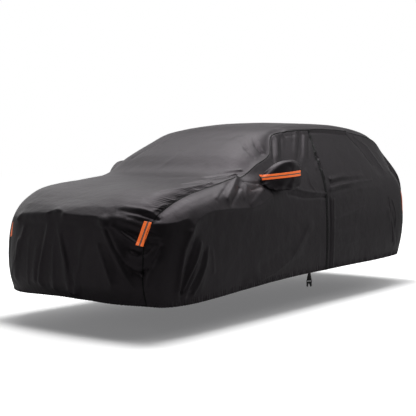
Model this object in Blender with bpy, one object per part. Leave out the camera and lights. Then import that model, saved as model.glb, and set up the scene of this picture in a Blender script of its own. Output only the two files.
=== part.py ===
"""Fitted cover for a five-door car: sewn panels, mirror pockets, side zip, strips, strap.

Metres, +Z up. The nose points along -Y and the zip side along +X. The shape is laid out
over a ground plane at z = 0 with the wheelbase centred on y = 0, then moved so that the
origin is on the under side of the roof, where the cover is held.
"""
import math
from collections import namedtuple

import bmesh
import bpy
import numpy as np
from mathutils import Matrix, Vector
from mathutils.bvhtree import BVHTree

# Cloth
CLOTH = 0.003              # thickness of every sewn panel
SEAM_SLIT = 0.0004         # each panel stops this far short of a seam
HOLD_Y = 0.70              # where along the roof the cover is held

# Rows of each panel
FALL_ROWS = 13             # from the shoulder seam down to the hem
RUN_FRONT = 33             # along the shoulder seam, nose to zip
RUN_REAR = 16              # along the shoulder seam, zip to tail
ACROSS = 28                # from one shoulder seam to the other

# Centre panel, nose hem to tail hem: points at the middle, a quarter way out and the seam.
Section = namedtuple("Section", "name middle quarter seam")
SECTIONS = (
    Section("nose hem", (0, -2.265, 0.285), (0.50, -2.230, 0.270), (0.755, -2.120, 0.260)),
    Section("nose low", (0, -2.325, 0.420), (0.52, -2.290, 0.420), (0.760, -2.165, 0.415)),
    Section("nose middle", (0, -2.330, 0.640), (0.53, -2.290, 0.635), (0.760, -2.165, 0.600)),
    Section("nose high", (0, -2.305, 0.830), (0.54, -2.255, 0.820), (0.765, -2.145, 0.770)),
    Section("nose edge", (0, -2.290, 0.950), (0.58, -2.225, 0.925), (0.780, -2.090, 0.885)),
    Section("hood lip", (0, -2.160, 1.040), (0.62, -2.060, 1.060), (0.790, -1.985, 0.965)),
    Section("hood front", (0, -1.860, 1.145), (0.63, -1.830, 1.152), (0.795, -1.720, 1.060)),
    Section("hood back", (0, -1.350, 1.225), (0.63, -1.340, 1.212), (0.800, -1.320, 1.145)),
    Section("cowl", (0, -1.060, 1.280), (0.62, -1.030, 1.262), (0.805, -0.970, 1.222)),
    Section("screen low", (0, -0.840, 1.430), (0.58, -0.800, 1.420), (0.830, -0.720, 1.275)),
    Section("screen high", (0, -0.570, 1.575), (0.56, -0.530, 1.552), (0.750, -0.470, 1.410)),
    Section("roof front", (0, -0.300, 1.685), (0.52, -0.270, 1.652), (0.640, -0.240, 1.600)),
    Section("roof middle", (0, 0.150, 1.744), (0.48, 0.150, 1.716), (0.635, 0.150, 1.648)),
    Section("roof crown", (0, 0.700, 1.762), (0.46, 0.700, 1.740), (0.630, 0.700, 1.674)),
    Section("roof back", (0, 1.300, 1.756), (0.46, 1.290, 1.738), (0.625, 1.250, 1.664)),
    Section("roof end", (0, 1.850, 1.684), (0.46, 1.830, 1.666), (0.615, 1.790, 1.602)),
    Section("back glass", (0, 2.100, 1.490), (0.46, 2.070, 1.480), (0.650, 1.975, 1.460)),
    Section("tail high", (0, 2.300, 1.200), (0.50, 2.260, 1.200), (0.755, 2.170, 1.200)),
    Section("tail edge", (0, 2.345, 0.950), (0.52, 2.310, 0.950), (0.788, 2.205, 0.940)),
    Section("tail middle", (0, 2.370, 0.700), (0.52, 2.340, 0.700), (0.790, 2.225, 0.700)),
    Section("tail low", (0, 2.350, 0.480), (0.52, 2.320, 0.480), (0.770, 2.200, 0.480)),
    Section("tail hem", (0, 2.270, 0.330), (0.50, 2.240, 0.330), (0.725, 2.110, 0.328)),
)
NOSE_TURN = 4.5            # section count where the seam turns down the nose corner
TAIL_TURN = 17.0           # section count where it turns down the tail corner

# Side panel, nose to tail: section count of its top, then five points down to the hem.
Post = namedtuple("Post", "name top upper shoulder waist low hem")
POSTS = (
    Post("lamp", 5.0, (0.845, -2.010, 0.930), (0.875, -2.035, 0.850), (0.885, -2.060, 0.680),
         (0.880, -2.060, 0.460), (0.860, -2.020, 0.250)),
    Post("fender", 5.9, (0.880, -1.780, 1.020), (0.935, -1.800, 0.930), (0.950, -1.820, 0.720),
         (0.950, -1.820, 0.480), (0.935, -1.800, 0.256)),
    Post("wheel", 6.5, (0.885, -1.520, 1.080), (0.945, -1.520, 1.000), (0.965, -1.520, 0.760),
         (0.965, -1.520, 0.510), (0.955, -1.500, 0.272)),
    Post("arch", 7.2, (0.885, -1.220, 1.135), (0.945, -1.200, 1.050), (0.965, -1.170, 0.780),
         (0.965, -1.140, 0.530), (0.950, -1.120, 0.292)),
    Post("mirror", 8.3, (0.900, -0.850, 1.170), (0.945, -0.830, 1.060), (0.962, -0.800, 0.800),
         (0.965, -0.780, 0.550), (0.950, -0.760, 0.312)),
    Post("pillar", 9.6, (0.870, -0.550, 1.215), (0.930, -0.530, 1.065), (0.958, -0.500, 0.800),
         (0.962, -0.480, 0.560), (0.950, -0.460, 0.322)),
    Post("pillar top", 11.0, (0.790, -0.240, 1.360), (0.910, -0.230, 1.130),
         (0.952, -0.220, 0.860), (0.960, -0.200, 0.590), (0.948, -0.180, 0.328)),
    Post("front door", 12.0, (0.785, 0.150, 1.400), (0.910, 0.140, 1.140), (0.955, 0.140, 0.860),
         (0.960, 0.150, 0.590), (0.947, 0.160, 0.330)),
    Post("rear door", 13.0, (0.790, 0.700, 1.420), (0.915, 0.700, 1.150), (0.955, 0.710, 0.870),
         (0.960, 0.710, 0.600), (0.945, 0.710, 0.335)),
    Post("rear wheel", 14.0, (0.780, 1.250, 1.400), (0.905, 1.260, 1.140), (0.950, 1.270, 0.870),
         (0.955, 1.280, 0.600), (0.940, 1.280, 0.337)),
    Post("quarter", 15.0, (0.755, 1.750, 1.360), (0.885, 1.740, 1.120), (0.930, 1.740, 0.860),
         (0.935, 1.750, 0.600), (0.915, 1.740, 0.343)),
    Post("tail lamp", 16.0, (0.745, 1.985, 1.270), (0.852, 2.015, 1.090), (0.882, 2.020, 0.850),
         (0.880, 2.015, 0.600), (0.845, 1.975, 0.342)),
)
SIDE_KNOTS = 5             # gaps between the six points of a post


def spline(knots, where):
    """Points of a Catmull-Rom curve; knots (n, m, 3), where (m,) counts knots from 0."""
    last = len(knots) - 1
    where = np.clip(where, 0.0, last)
    low = np.clip(np.floor(where).astype(int), 0, last - 1)
    part = (where - low)[:, None]
    ends = np.concatenate([2 * knots[:1] - knots[1:2], knots, 2 * knots[-1:] - knots[-2:-1]])
    here = np.arange(ends.shape[1])
    a, b, c, d = (ends[low + k, here] for k in range(4))
    return 0.5 * (2 * b + (c - a) * part + (2 * a - 5 * b + 4 * c - d) * part ** 2
                  + (3 * b - a - 3 * c + d) * part ** 3)


def curve(points, where):
    """The same curve for one list of points shared by every place in where."""
    knots = np.repeat(np.asarray(points, float)[:, None], len(where), axis=1)
    return spline(knots, where)


def seam(where):
    """The shoulder seam on the zip side, by section count."""
    return curve([row.seam for row in SECTIONS], where)


def centre(where, across):
    """The centre panel; across runs from -1 at the far seam to 1 at the zip side seam."""
    columns = [curve([row.middle for row in SECTIONS], where),
               curve([row.quarter for row in SECTIONS], where), seam(where)]
    flip = np.array((-1.0, 1.0, 1.0))
    knots = np.stack([columns[2] * flip, columns[1] * flip, columns[0], columns[1], columns[2]])
    return spline(knots, (across + 1) * 2)


def side(along, fall):
    """The side panel on the zip side; along counts posts, fall runs 0 at the seam to 1."""
    steps = np.linspace(0, 1, SIDE_KNOTS + 1)
    nose = seam(NOSE_TURN * (1 - steps))
    tail = seam(TAIL_TURN + (len(SECTIONS) - 1 - TAIL_TURN) * steps)
    tops = [NOSE_TURN] + [post.top for post in POSTS] + [TAIL_TURN]
    rows = [seam(np.interp(along, range(len(tops)), tops))]
    for step in range(1, SIDE_KNOTS + 1):
        points = [nose[step]] + [post[step + 1] for post in POSTS] + [tail[step]]
        rows.append(curve(points, along))
    placed = spline(np.stack(rows), fall * SIDE_KNOTS)
    last = len(tops) - 1
    placed += np.clip(1 - along, 0, 1)[:, None] ** 2 * (
        seam(NOSE_TURN * (1 - fall)) - curve(nose, fall * SIDE_KNOTS))
    placed += np.clip(along - last + 1, 0, 1)[:, None] ** 2 * (
        seam(TAIL_TURN + (len(SECTIONS) - 1 - TAIL_TURN) * fall)
        - curve(tail, fall * SIDE_KNOTS))
    return placed


# Side zip: post count along the side at six falls from the roof seam to the hem.
ZIP_LINE = (8.52, 8.30, 8.25, 8.20, 8.19, 8.19)
ZIP_HALF = 0.016           # half the width of its tape
ZIP_TEETH = 0.004          # half the width of the closed chain
ZIP_RISE = 0.0025          # how far the chain stands above the tape
POST_STEP = 0.55           # metres between posts near the zip

# Folds: the line each follows, its half width and height at both ends (a trough is below 0).
Fold = namedtuple("Fold", "name line widths heights")
FOLDS = (
    Fold("nose swell", ((-0.03, -2.28, 0.95), (-0.01, -2.30, 0.91)), (0.050, 0.060), (0.018, 0.008)),
    Fold("nose far a", ((-0.50, -2.29, 0.70), (-0.64, -2.24, 0.36)), (0.030, 0.040), (0.010, 0.018)),
    Fold("nose far b", ((-0.44, -2.29, 0.84), (-0.55, -2.28, 0.40)), (0.035, 0.035), (0.010, 0.016)),
    Fold("nose a", ((-0.24, -2.32, 0.66), (-0.28, -2.32, 0.40)), (0.030, 0.030), (0.008, 0.014)),
    Fold("nose b", ((-0.11, -2.31, 0.85), (-0.21, -2.32, 0.38)), (0.035, 0.035), (0.012, 0.022)),
    Fold("nose c", ((-0.03, -2.33, 0.74), (-0.05, -2.31, 0.35)), (0.025, 0.030), (0.006, 0.014)),
    Fold("nose d", ((0.01, -2.32, 0.85), (0.09, -2.33, 0.61), (0.12, -2.29, 0.33)), (0.030, 0.035),
         (0.012, 0.024)),
    Fold("nose hollow", ((0.17, -2.32, 0.81), (0.22, -2.33, 0.58)), (0.060, 0.060), (-0.018, -0.014)),
    Fold("nose e", ((0.27, -2.31, 0.79), (0.17, -2.29, 0.33)), (0.035, 0.035), (0.008, 0.018)),
    Fold("nose f", ((0.44, -2.30, 0.70), (0.55, -2.28, 0.42)), (0.045, 0.050), (0.012, 0.016)),
    Fold("nose g", ((0.45, -2.27, 0.91), (0.61, -2.27, 0.61), (0.68, -2.22, 0.40)), (0.040, 0.050),
         (0.022, 0.010)),
    Fold("nose wedge", ((0.50, -2.28, 0.83), (0.60, -2.27, 0.56)), (0.035, 0.040), (-0.016, -0.012)),
    Fold("corner swag a", ((0.53, -2.16, 1.00), (0.68, -2.11, 0.99), (0.78, -2.04, 0.94)),
         (0.030, 0.022), (0.004, 0.014)),
    Fold("corner dip a", ((0.56, -2.19, 0.96), (0.70, -2.12, 0.96), (0.81, -2.04, 0.92)),
         (0.024, 0.022), (-0.008, -0.016)),
    Fold("corner swag b", ((0.54, -2.23, 0.93), (0.74, -2.14, 0.84)), (0.045, 0.030), (0.014, 0.016)),
    Fold("corner dip b", ((0.54, -2.26, 0.87), (0.73, -2.17, 0.78)), (0.040, 0.030), (-0.006, -0.014)),
    Fold("corner swag c", ((0.60, -2.25, 0.82), (0.72, -2.18, 0.72)), (0.035, 0.030), (0.008, 0.014)),
    Fold("corner arc", ((0.68, -2.22, 0.67), (0.73, -2.19, 0.64), (0.78, -2.15, 0.67)),
         (0.025, 0.025), (0.014, 0.014)),
    Fold("corner fork far", ((0.66, -2.23, 0.59), (0.76, -2.17, 0.52)), (0.032, 0.024), (-0.010, -0.018)),
    Fold("corner fork near", ((0.85, -2.10, 0.65), (0.77, -2.17, 0.52)), (0.032, 0.024),
         (-0.010, -0.018)),
    Fold("corner rise", ((0.79, -2.14, 0.41), (0.85, -2.10, 0.61)), (0.030, 0.035), (0.010, 0.014)),
    Fold("corner near swag", ((0.80, -2.13, 0.74), (0.86, -2.07, 0.77)), (0.025, 0.028), (0.012, 0.006)),
    Fold("arch ridge a", ((0.95, -1.80, 0.85), (0.94, -1.90, 0.63), (0.91, -1.93, 0.32)),
         (0.045, 0.032), (0.010, 0.022)),
    Fold("arch dip a", ((0.95, -1.77, 0.76), (0.94, -1.86, 0.56), (0.92, -1.91, 0.32)),
         (0.030, 0.026), (-0.008, -0.020)),
    Fold("arch ridge b", ((0.96, -1.72, 0.69), (0.95, -1.80, 0.49), (0.92, -1.87, 0.33)),
         (0.035, 0.026), (0.010, 0.016)),
    Fold("arch dip b", ((0.96, -1.68, 0.66), (0.96, -1.75, 0.48), (0.93, -1.84, 0.33)),
         (0.030, 0.024), (-0.006, -0.010)),
    Fold("arch ridge c", ((0.96, -1.63, 0.60), (0.96, -1.71, 0.38)), (0.032, 0.032), (0.008, 0.010)),
    Fold("mirror ridge a", ((0.80, -1.01, 1.21), (0.86, -1.14, 1.16), (0.94, -1.33, 1.05)),
         (0.030, 0.038), (0.012, 0.014)),
    Fold("mirror dip a", ((0.86, -1.05, 1.17), (0.94, -1.29, 1.03)), (0.028, 0.030), (-0.014, -0.010)),
    Fold("mirror ridge b", ((0.81, -1.13, 1.18), (0.92, -1.45, 1.07)), (0.032, 0.032), (0.008, 0.010)),
    Fold("mirror ridge c", ((0.93, -0.84, 1.10), (0.95, -1.03, 1.01)), (0.040, 0.050), (0.014, 0.008)),
    Fold("mirror dip c", ((0.91, -0.88, 1.15), (0.92, -1.07, 1.12)), (0.030, 0.040), (-0.012, -0.008)),
    Fold("screen a", ((0.47, -0.51, 1.58), (0.72, -0.66, 1.39)), (0.034, 0.034), (0.008, 0.010)),
    Fold("screen b", ((0.55, -0.43, 1.59), (0.71, -0.50, 1.45)), (0.034, 0.034), (0.008, 0.012)),
    Fold("pillar", ((0.67, -0.22, 1.55), (0.77, -0.38, 1.39)), (0.026, 0.030), (0.012, 0.010)),
    Fold("window dip a", ((0.66, -0.03, 1.59), (0.76, -0.21, 1.41)), (0.050, 0.050), (-0.010, -0.010)),
    Fold("window a", ((0.65, 0.17, 1.62), (0.76, -0.01, 1.43)), (0.030, 0.030), (0.012, 0.010)),
    Fold("window dip b", ((0.66, 0.25, 1.61), (0.77, 0.05, 1.41)), (0.026, 0.030), (-0.012, -0.008)),
    Fold("window b", ((0.68, 0.31, 1.59), (0.80, 0.10, 1.38)), (0.026, 0.030), (0.012, 0.008)),
    Fold("belt swell", ((0.91, -0.28, 1.12), (0.92, -0.04, 1.09), (0.93, 0.14, 1.04)),
         (0.045, 0.040), (0.012, 0.010)),
    Fold("zip fold a", ((0.90, 0.40, 1.19), (0.89, 0.65, 1.22), (0.88, 1.06, 1.22)),
         (0.028, 0.038), (0.016, 0.005)),
    Fold("zip dip a", ((0.91, 0.38, 1.14), (0.91, 0.59, 1.18), (0.90, 0.92, 1.19)),
         (0.024, 0.030), (-0.012, -0.004)),
    Fold("zip fold b", ((0.93, 0.35, 1.08), (0.92, 0.55, 1.13), (0.91, 0.87, 1.15), (0.90, 1.25, 1.16)),
         (0.028, 0.038), (0.018, 0.004)),
    Fold("zip dip b", ((0.94, 0.36, 1.03), (0.93, 0.57, 1.07), (0.93, 0.94, 1.07)),
         (0.028, 0.040), (-0.012, -0.004)),
    Fold("door swell", ((0.96, -0.25, 0.54), (0.96, -0.70, 0.43), (0.95, -1.08, 0.34)),
         (0.050, 0.045), (0.010, 0.014)),
    Fold("door dip", ((0.96, -0.11, 0.66), (0.96, -0.51, 0.56), (0.96, -0.87, 0.46)),
         (0.060, 0.060), (-0.004, -0.010)),
    Fold("door ridge", ((0.96, -0.04, 0.78), (0.96, -0.30, 0.54)), (0.040, 0.040), (0.006, 0.008)),
    Fold("quarter dip", ((0.71, 1.38, 1.51), (0.83, 1.57, 1.26)), (0.060, 0.070), (-0.008, -0.012)),
    Fold("tail a", ((0.94, 1.55, 0.84), (0.93, 1.75, 0.48)), (0.038, 0.038), (0.012, 0.012)),
    Fold("tail dip a", ((0.94, 1.65, 0.80), (0.92, 1.80, 0.51)), (0.030, 0.032), (-0.010, -0.012)),
    Fold("tail b", ((0.89, 2.03, 0.78), (0.87, 1.99, 0.40)), (0.045, 0.050), (0.008, 0.014)),
    Fold("tail c", ((0.60, 2.31, 0.80), (0.64, 2.26, 0.40)), (0.050, 0.055), (0.008, 0.016)),
    Fold("tail d", ((0.20, 2.36, 0.82), (0.16, 2.33, 0.40)), (0.050, 0.055), (0.008, 0.016)),
    Fold("tail e", ((-0.25, 2.36, 0.86), (-0.30, 2.32, 0.40)), (0.050, 0.055), (0.010, 0.018)),
    Fold("tail f", ((-0.62, 2.30, 0.78), (-0.66, 2.24, 0.40)), (0.050, 0.055), (0.008, 0.014)),
    Fold("far arch a", ((-0.95, -1.78, 0.85), (-0.94, -1.88, 0.60), (-0.92, -1.92, 0.33)),
         (0.045, 0.036), (0.010, 0.020)),
    Fold("far arch b", ((-0.96, -1.68, 0.68), (-0.95, -1.79, 0.34)), (0.036, 0.032), (0.008, 0.014)),
    Fold("far mirror a", ((-0.82, -1.02, 1.20), (-0.94, -1.32, 1.05)), (0.036, 0.042), (0.012, 0.012)),
    Fold("far mirror b", ((-0.93, -0.84, 1.10), (-0.95, -1.05, 1.00)), (0.045, 0.050), (0.012, 0.008)),
    Fold("far door", ((-0.96, 0.60, 0.56), (-0.96, 0.00, 0.46), (-0.95, -0.80, 0.36)),
         (0.055, 0.055), (0.010, 0.014)),
    Fold("far belt", ((-0.91, 0.10, 1.14), (-0.91, 1.10, 1.16)), (0.045, 0.050), (0.010, 0.008)),
    Fold("far tail", ((-0.94, 1.56, 0.84), (-0.92, 1.78, 0.44)), (0.042, 0.042), (0.012, 0.014)),
)


def fold_height(points):
    """How far every point stands off the plain shape, from the fold table."""
    height = np.zeros(len(points))
    for fold in FOLDS:
        line = np.array(fold.line)
        runs = np.diff(line, axis=0)
        lengths = np.linalg.norm(runs, axis=1)
        nearest = np.full(len(points), np.inf)
        share = np.zeros(len(points))
        for start, run, length, before in zip(line, runs, lengths, np.cumsum(lengths) - lengths):
            part = np.clip((points - start) @ run / length ** 2, 0, 1)
            off = np.linalg.norm(points - start - part[:, None] * run, axis=1)
            share = np.where(off < nearest, (before + part * length) / lengths.sum(), share)
            nearest = np.minimum(off, nearest)
        width = fold.widths[0] + (fold.widths[1] - fold.widths[0]) * share
        rise = fold.heights[0] + (fold.heights[1] - fold.heights[0]) * share
        height += rise * np.exp(-(nearest / width) ** 2)
    return height


def face_normals(grid):
    """Sum of the normals of the four cells around every place of a grid (rows, cols, 3)."""
    cell = np.cross(grid[1:, 1:] - grid[:-1, :-1], grid[1:, :-1] - grid[:-1, 1:])
    total = np.zeros_like(grid)
    for row in (0, 1):
        for column in (0, 1):
            total[row:row + cell.shape[0], column:column + cell.shape[1]] += cell
    return total


def unit(vectors):
    """Vectors scaled to length one."""
    return vectors / np.linalg.norm(vectors, axis=-1, keepdims=True)


class Cover:
    """Grids of the three cloth faces and the normals that they share along their seams."""

    def __init__(self):
        last = len(SECTIONS) - 1
        self.fall = np.linspace(0, 1, FALL_ROWS + 1)
        grids = [self.side_grid(), self.side_grid()]
        grids[1] = grids[1] * np.array((-1.0, 1.0, 1.0))
        tops = [NOSE_TURN] + [post.top for post in POSTS] + [TAIL_TURN]
        run = np.interp(self.along(np.zeros(1))[:, 0], range(len(tops)), tops)
        nose = NOSE_TURN * (1 - self.fall[::-1])
        tail = TAIL_TURN + (last - TAIL_TURN) * self.fall
        rows = np.concatenate([nose[:-1], run, tail[1:]])
        across = np.linspace(-1, 1, ACROSS + 1)
        where, over = np.meshgrid(rows, across, indexing="ij")
        middle = centre(where.ravel(), over.ravel()).reshape(where.shape + (3,))
        self.grids = {"centre": middle, "left": grids[0], "right": grids[1]}
        self.normals = self.shared_normals()
        for name, grid in self.grids.items():
            lift = fold_height(grid.reshape(-1, 3)).reshape(grid.shape[:2])
            self.grids[name] = grid + self.normals[name] * lift[:, :, None]
        self.normals = self.shared_normals()

    def along(self, fall):
        """Post counts (columns, falls) of every column of a side grid."""
        zip_at = np.interp(fall * SIDE_KNOTS, range(SIDE_KNOTS + 1), ZIP_LINE)
        half = ZIP_HALF / POST_STEP
        front = np.linspace(0, 1, RUN_FRONT + 1)[:, None] * (zip_at - half)
        last = len(POSTS) + 1
        back = zip_at + half
        rear = back + np.linspace(0, 1, RUN_REAR + 1)[:, None] * (last - back)
        return np.concatenate([front, rear])

    def side_grid(self):
        """Grid (falls, columns, 3) of the zip side."""
        along = self.along(self.fall).T
        fall = np.repeat(self.fall[:, None], along.shape[1], axis=1)
        return side(along.ravel(), fall.ravel()).reshape(along.shape + (3,))

    def rim(self, name):
        """Index pairs of a side grid that run along the edge of the centre grid."""
        columns = self.grids[name].shape[1]
        down = [(row, 0) for row in range(FALL_ROWS, 0, -1)]
        top = [(0, column) for column in range(columns)]
        up = [(row, columns - 1) for row in range(1, FALL_ROWS + 1)]
        return tuple(np.array(down + top + up).T)

    def shared_normals(self):
        """Unit normals that point out, equal on both sides of a seam."""
        normals = {name: face_normals(grid) for name, grid in self.grids.items()}
        normals["left"] = -normals["left"]
        for name, column in (("left", -1), ("right", 0)):
            rim = self.rim(name)
            both = normals[name][rim] + normals["centre"][:, column]
            normals[name][rim] = both
            normals["centre"][:, column] = both
        return {name: unit(total) for name, total in normals.items()}


# Mirror pocket: rings from its long mouth in the side panel to its tip.
Ring = namedtuple("Ring", "share y z deep high tilt")
POCKET_TIP = (1.040, -0.430, 1.250)
POCKET_RINGS = (                       # share of the reach, middle, half sizes, rise per metre
    Ring(0.00, -0.620, 1.205, 0.178, 0.050, 0.16),
    Ring(0.22, -0.590, 1.222, 0.188, 0.090, 0.12),
    Ring(0.46, -0.540, 1.236, 0.184, 0.124, 0.08),
    Ring(0.70, -0.485, 1.243, 0.160, 0.134, 0.04),
    Ring(0.88, -0.450, 1.246, 0.112, 0.120, 0.02),
    Ring(0.97, -0.435, 1.250, 0.066, 0.082, 0.00),
)
POCKET_AROUND = 22
POCKET_SQUARE = 0.75                   # below 1 the pocket is boxier than an ellipse
POCKET_SINK = 0.012                    # how far its edge reaches through the panel
POCKET_SLIT = 0.0012                   # room between the pocket and the hole in the panel
CUTTER_SINK = 0.030                    # how far the hole's cutter starts inside the panel

# Strips: what each lies on, its four corners, which way it faces, cells across and along.
Strip = namedtuple("Strip", "name hosts corners facing cells")
STRIPS = (
    Strip("strip_nose_left", ("panel_centre", "panel_left_front"),
          ((0.735, -2.120, 0.912), (0.775, -2.075, 0.900), (0.705, -2.185, 0.733), (0.750, -2.150, 0.720)),
          (0.62, -0.78, 0.10), (2, 10)),
    Strip("strip_nose_right", ("panel_centre", "panel_right"),
          ((-0.735, -2.120, 0.912), (-0.775, -2.075, 0.900), (-0.705, -2.185, 0.733),
           (-0.750, -2.150, 0.720)), (-0.62, -0.78, 0.10), (2, 10)),
    Strip("strip_tail_left", ("panel_centre", "panel_left_rear"),
          ((0.845, 2.060, 1.035), (0.880, 2.020, 1.030), (0.865, 2.100, 0.790), (0.900, 2.050, 0.785)),
          (0.80, 0.60, 0.05), (2, 10)),
    Strip("strip_tail_right", ("panel_centre", "panel_right"),
          ((-0.845, 2.060, 1.035), (-0.880, 2.020, 1.030), (-0.865, 2.100, 0.790),
           (-0.900, 2.050, 0.785)), (-0.80, 0.60, 0.05), (2, 10)),
    Strip("strip_mirror_left", ("mirror_pocket_left", "panel_left_front"),
          ((0.922, -0.800, 1.246), (1.024, -0.366, 1.284), (0.924, -0.800, 1.202),
           (1.028, -0.366, 1.236)), (0.85, -0.53, 0.00), (16, 3)),
    Strip("strip_mirror_right", ("mirror_pocket_right", "panel_right"),
          ((-0.922, -0.800, 1.246), (-1.024, -0.366, 1.284), (-0.924, -0.800, 1.202),
           (-1.028, -0.366, 1.236)), (-0.85, -0.53, 0.00), (16, 3)),
)
STRIP_LIFT = 0.0022                    # room between a strip and its cloth
STRIP_THICK = 0.0015
STRIP_PROBES = 4                       # soundings of the cloth in each cell, each way
SEAM_PROBE = 0.0015                    # soundings this far to each side span a seam's slit
PROBE_START = 0.5                      # where a sounding starts, outside the cloth

# Strap and buckle half
STRAP_Y = -0.055
STRAP_WIDE = 0.045
STRAP_THICK = 0.0016
STRAP_TOP = 0.350
STRAP_END = 0.249                      # height of the buckle's middle
STRAP_DROPS = (STRAP_TOP, 0.325, 0.312, 0.300, 0.289, 0.279)
STRAP_TURNED = 0.046                   # drop over which the strap turns to its buckle
STRAP_LOOP = (                         # depth and rise of the webbing round the buckle bar
    (0.0061, 0.0180), (0.0061, 0.0105), (0.0054, 0.0084), (0.0000, 0.0079), (-0.0054, 0.0084),
    (-0.0061, 0.0105), (-0.0061, 0.0180), (-0.0029, 0.0290), (-0.0029, 0.0420),
)
STRAP_INSET = 0.0045                   # room between the strap and the cloth before it
STRAP_SEWN = 0.018                     # length of strap that lies behind the hem
STRAP_TWIST = math.radians(-30)
BUCKLE_HALF = (            # y and z of half the outline, from the top middle round to the bottom
    (0.0, 0.016), (0.026, 0.016), (0.0275, 0.013), (0.0275, -0.003), (0.019, -0.011),
    (0.018, -0.019), (0.024, -0.025), (0.0285, -0.032), (0.027, -0.040), (0.020, -0.049),
    (0.0135, -0.049), (0.013, -0.042), (0.0165, -0.036), (0.011, -0.027), (0.0085, -0.018),
    (0.0, -0.018),
)
BUCKLE_THICK = 0.0080                  # at its middle
BUCKLE_CROWN = 1.6                     # how fast each face falls away, per metre
BUCKLE_MIDDLE_Z = -0.004
BUCKLE_SLOT = (0.030, 0.047, 0.009)    # the slot for the strap: through, wide, high
BUCKLE_SLOT_Z = 0.0055

CLOTH_BLACK = (0.030, 0.029, 0.033)
TAPE_BLACK = (0.012, 0.012, 0.013)
STRIP_ORANGE = (0.800, 0.170, 0.045)


def clear_scene():
    """Remove every object of the start file."""
    for item in list(bpy.data.objects):
        bpy.data.objects.remove(item, do_unlink=True)


def finish(name, colour, roughness):
    """A plain material."""
    material = bpy.data.materials.new(name)
    material.use_nodes = True
    shader = material.node_tree.nodes["Principled BSDF"]
    shader.inputs["Base Color"].default_value = (*colour, 1.0)
    shader.inputs["Roughness"].default_value = roughness
    shader.inputs["Metallic"].default_value = 0.0
    return material


def add_object(name, mesh, material):
    """Link a mesh object of one material."""
    if material is not None:
        mesh.materials.append(material)
    item = bpy.data.objects.new(name, mesh)
    bpy.context.collection.objects.link(item)
    return item


def held_place(cover):
    """The under side of the roof at HOLD_Y, which becomes the origin."""
    grid = cover.grids["centre"]
    middle = grid[:, ACROSS // 2]
    height = np.interp(HOLD_Y, middle[FALL_ROWS:-FALL_ROWS, 1], middle[FALL_ROWS:-FALL_ROWS, 2])
    return np.array((0.0, HOLD_Y, height - CLOTH))


def close_mesh(name, mesh, material):
    """Turn a closed bmesh outside out and make an object of it."""
    bmesh.ops.recalc_face_normals(mesh, faces=mesh.faces[:])
    if mesh.calc_volume(signed=True) < 0:
        bmesh.ops.reverse_faces(mesh, faces=mesh.faces[:])
    data = bpy.data.meshes.new(name)
    mesh.to_mesh(data)
    mesh.free()
    return add_object(name, data, material)


def sheet(name, outer, normals, thickness, material, thin=None):
    """A closed sheet: a grid of outer places pushed in along its normals.

    thin(row, column) says which grid lines between two rows are left out.
    """
    rows, columns = outer.shape[:2]
    mesh = bmesh.new()
    bmesh.ops.create_grid(mesh, x_segments=columns - 1, y_segments=rows - 1, size=1.0)
    place = mesh.verts.layers.int.new("place")
    table = {}
    for vert in mesh.verts:
        column = round((vert.co.x + 1) / 2 * (columns - 1))
        row = round((vert.co.y + 1) / 2 * (rows - 1))
        vert[place] = row * columns + column
        vert.co = outer[row, column]
        table[row, column] = vert
    if thin is not None:
        spare = [mesh.edges.get((table[row, column], table[row + 1, column]))
                 for row in range(rows - 1) for column in range(1, columns - 1)
                 if thin(row, column)]
        bmesh.ops.dissolve_edges(mesh, edges=spare, use_verts=True)
    bmesh.ops.triangulate(mesh, faces=mesh.faces[:])
    flat_normals = normals.reshape(-1, 3)
    flat_outer = outer.reshape(-1, 3)
    made = bmesh.ops.extrude_face_region(mesh, geom=mesh.faces[:], use_keep_orig=True)
    for item in made["geom"]:
        if isinstance(item, bmesh.types.BMVert):
            index = item[place]
            item.co = flat_outer[index] - flat_normals[index] * thickness
    return close_mesh(name, mesh, material)


def slit(outer, normals, sides):
    """The grid with the named sides drawn back from their seams."""
    drawn = outer.copy()
    for edge in sides:
        inside = {"west": (slice(None), 0), "east": (slice(None), -1),
                  "north": (0, slice(None)), "south": (-1, slice(None))}[edge]
        nearer = {"west": (slice(None), 1), "east": (slice(None), -2),
                  "north": (1, slice(None)), "south": (-2, slice(None))}[edge]
        line = outer[inside]
        along = np.gradient(line, axis=0)
        inward = unit(np.cross(normals[inside], along))
        facing = np.sign(((outer[nearer] - line) * inward).sum(-1, keepdims=True))
        drawn[inside] += inward * facing * SEAM_SLIT
    return drawn


def build_panels(cover, cloth, tape):
    """The four cloth panels and the zip between the two on its side."""
    top = cover.grids["centre"]
    last = top.shape[0] - 1

    def wide_cells(row, column):
        return column % 2 == 1 and FALL_ROWS + 2 <= row < last

    sheet("panel_centre", slit(top, cover.normals["centre"], ("west", "east")),
          cover.normals["centre"], CLOTH, cloth, wide_cells)
    right = cover.grids["right"]
    sheet("panel_right", slit(right, cover.normals["right"], ("west", "north", "east")),
          cover.normals["right"], CLOTH, cloth)
    left, normals = cover.grids["left"], cover.normals["left"]
    cut = RUN_FRONT + 1
    sheet("panel_left_front", slit(left[:, :cut], normals[:, :cut], ("west", "north", "east")),
          normals[:, :cut], CLOTH, cloth)
    sheet("panel_left_rear", slit(left[:, cut:], normals[:, cut:], ("west", "north", "east")),
          normals[:, cut:], CLOTH, cloth)
    band, facing = left[:, cut - 1:cut + 1], normals[:, cut - 1:cut + 1]
    shares = np.array((0, 0.5 - ZIP_TEETH / ZIP_HALF / 2, 0.5 + ZIP_TEETH / ZIP_HALF / 2, 1))
    shares = shares[None, :, None]
    zip_grid = band[:, :1] + (band[:, 1:] - band[:, :1]) * shares
    zip_facing = unit(facing[:, :1] + (facing[:, 1:] - facing[:, :1]) * shares)
    zip_grid = slit(zip_grid, zip_facing, ("west", "east", "north"))
    zip_grid[:, 1:3] += zip_facing[:, 1:3] * ZIP_RISE
    sheet("zip_left", zip_grid, zip_facing, CLOTH, tape)


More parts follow.
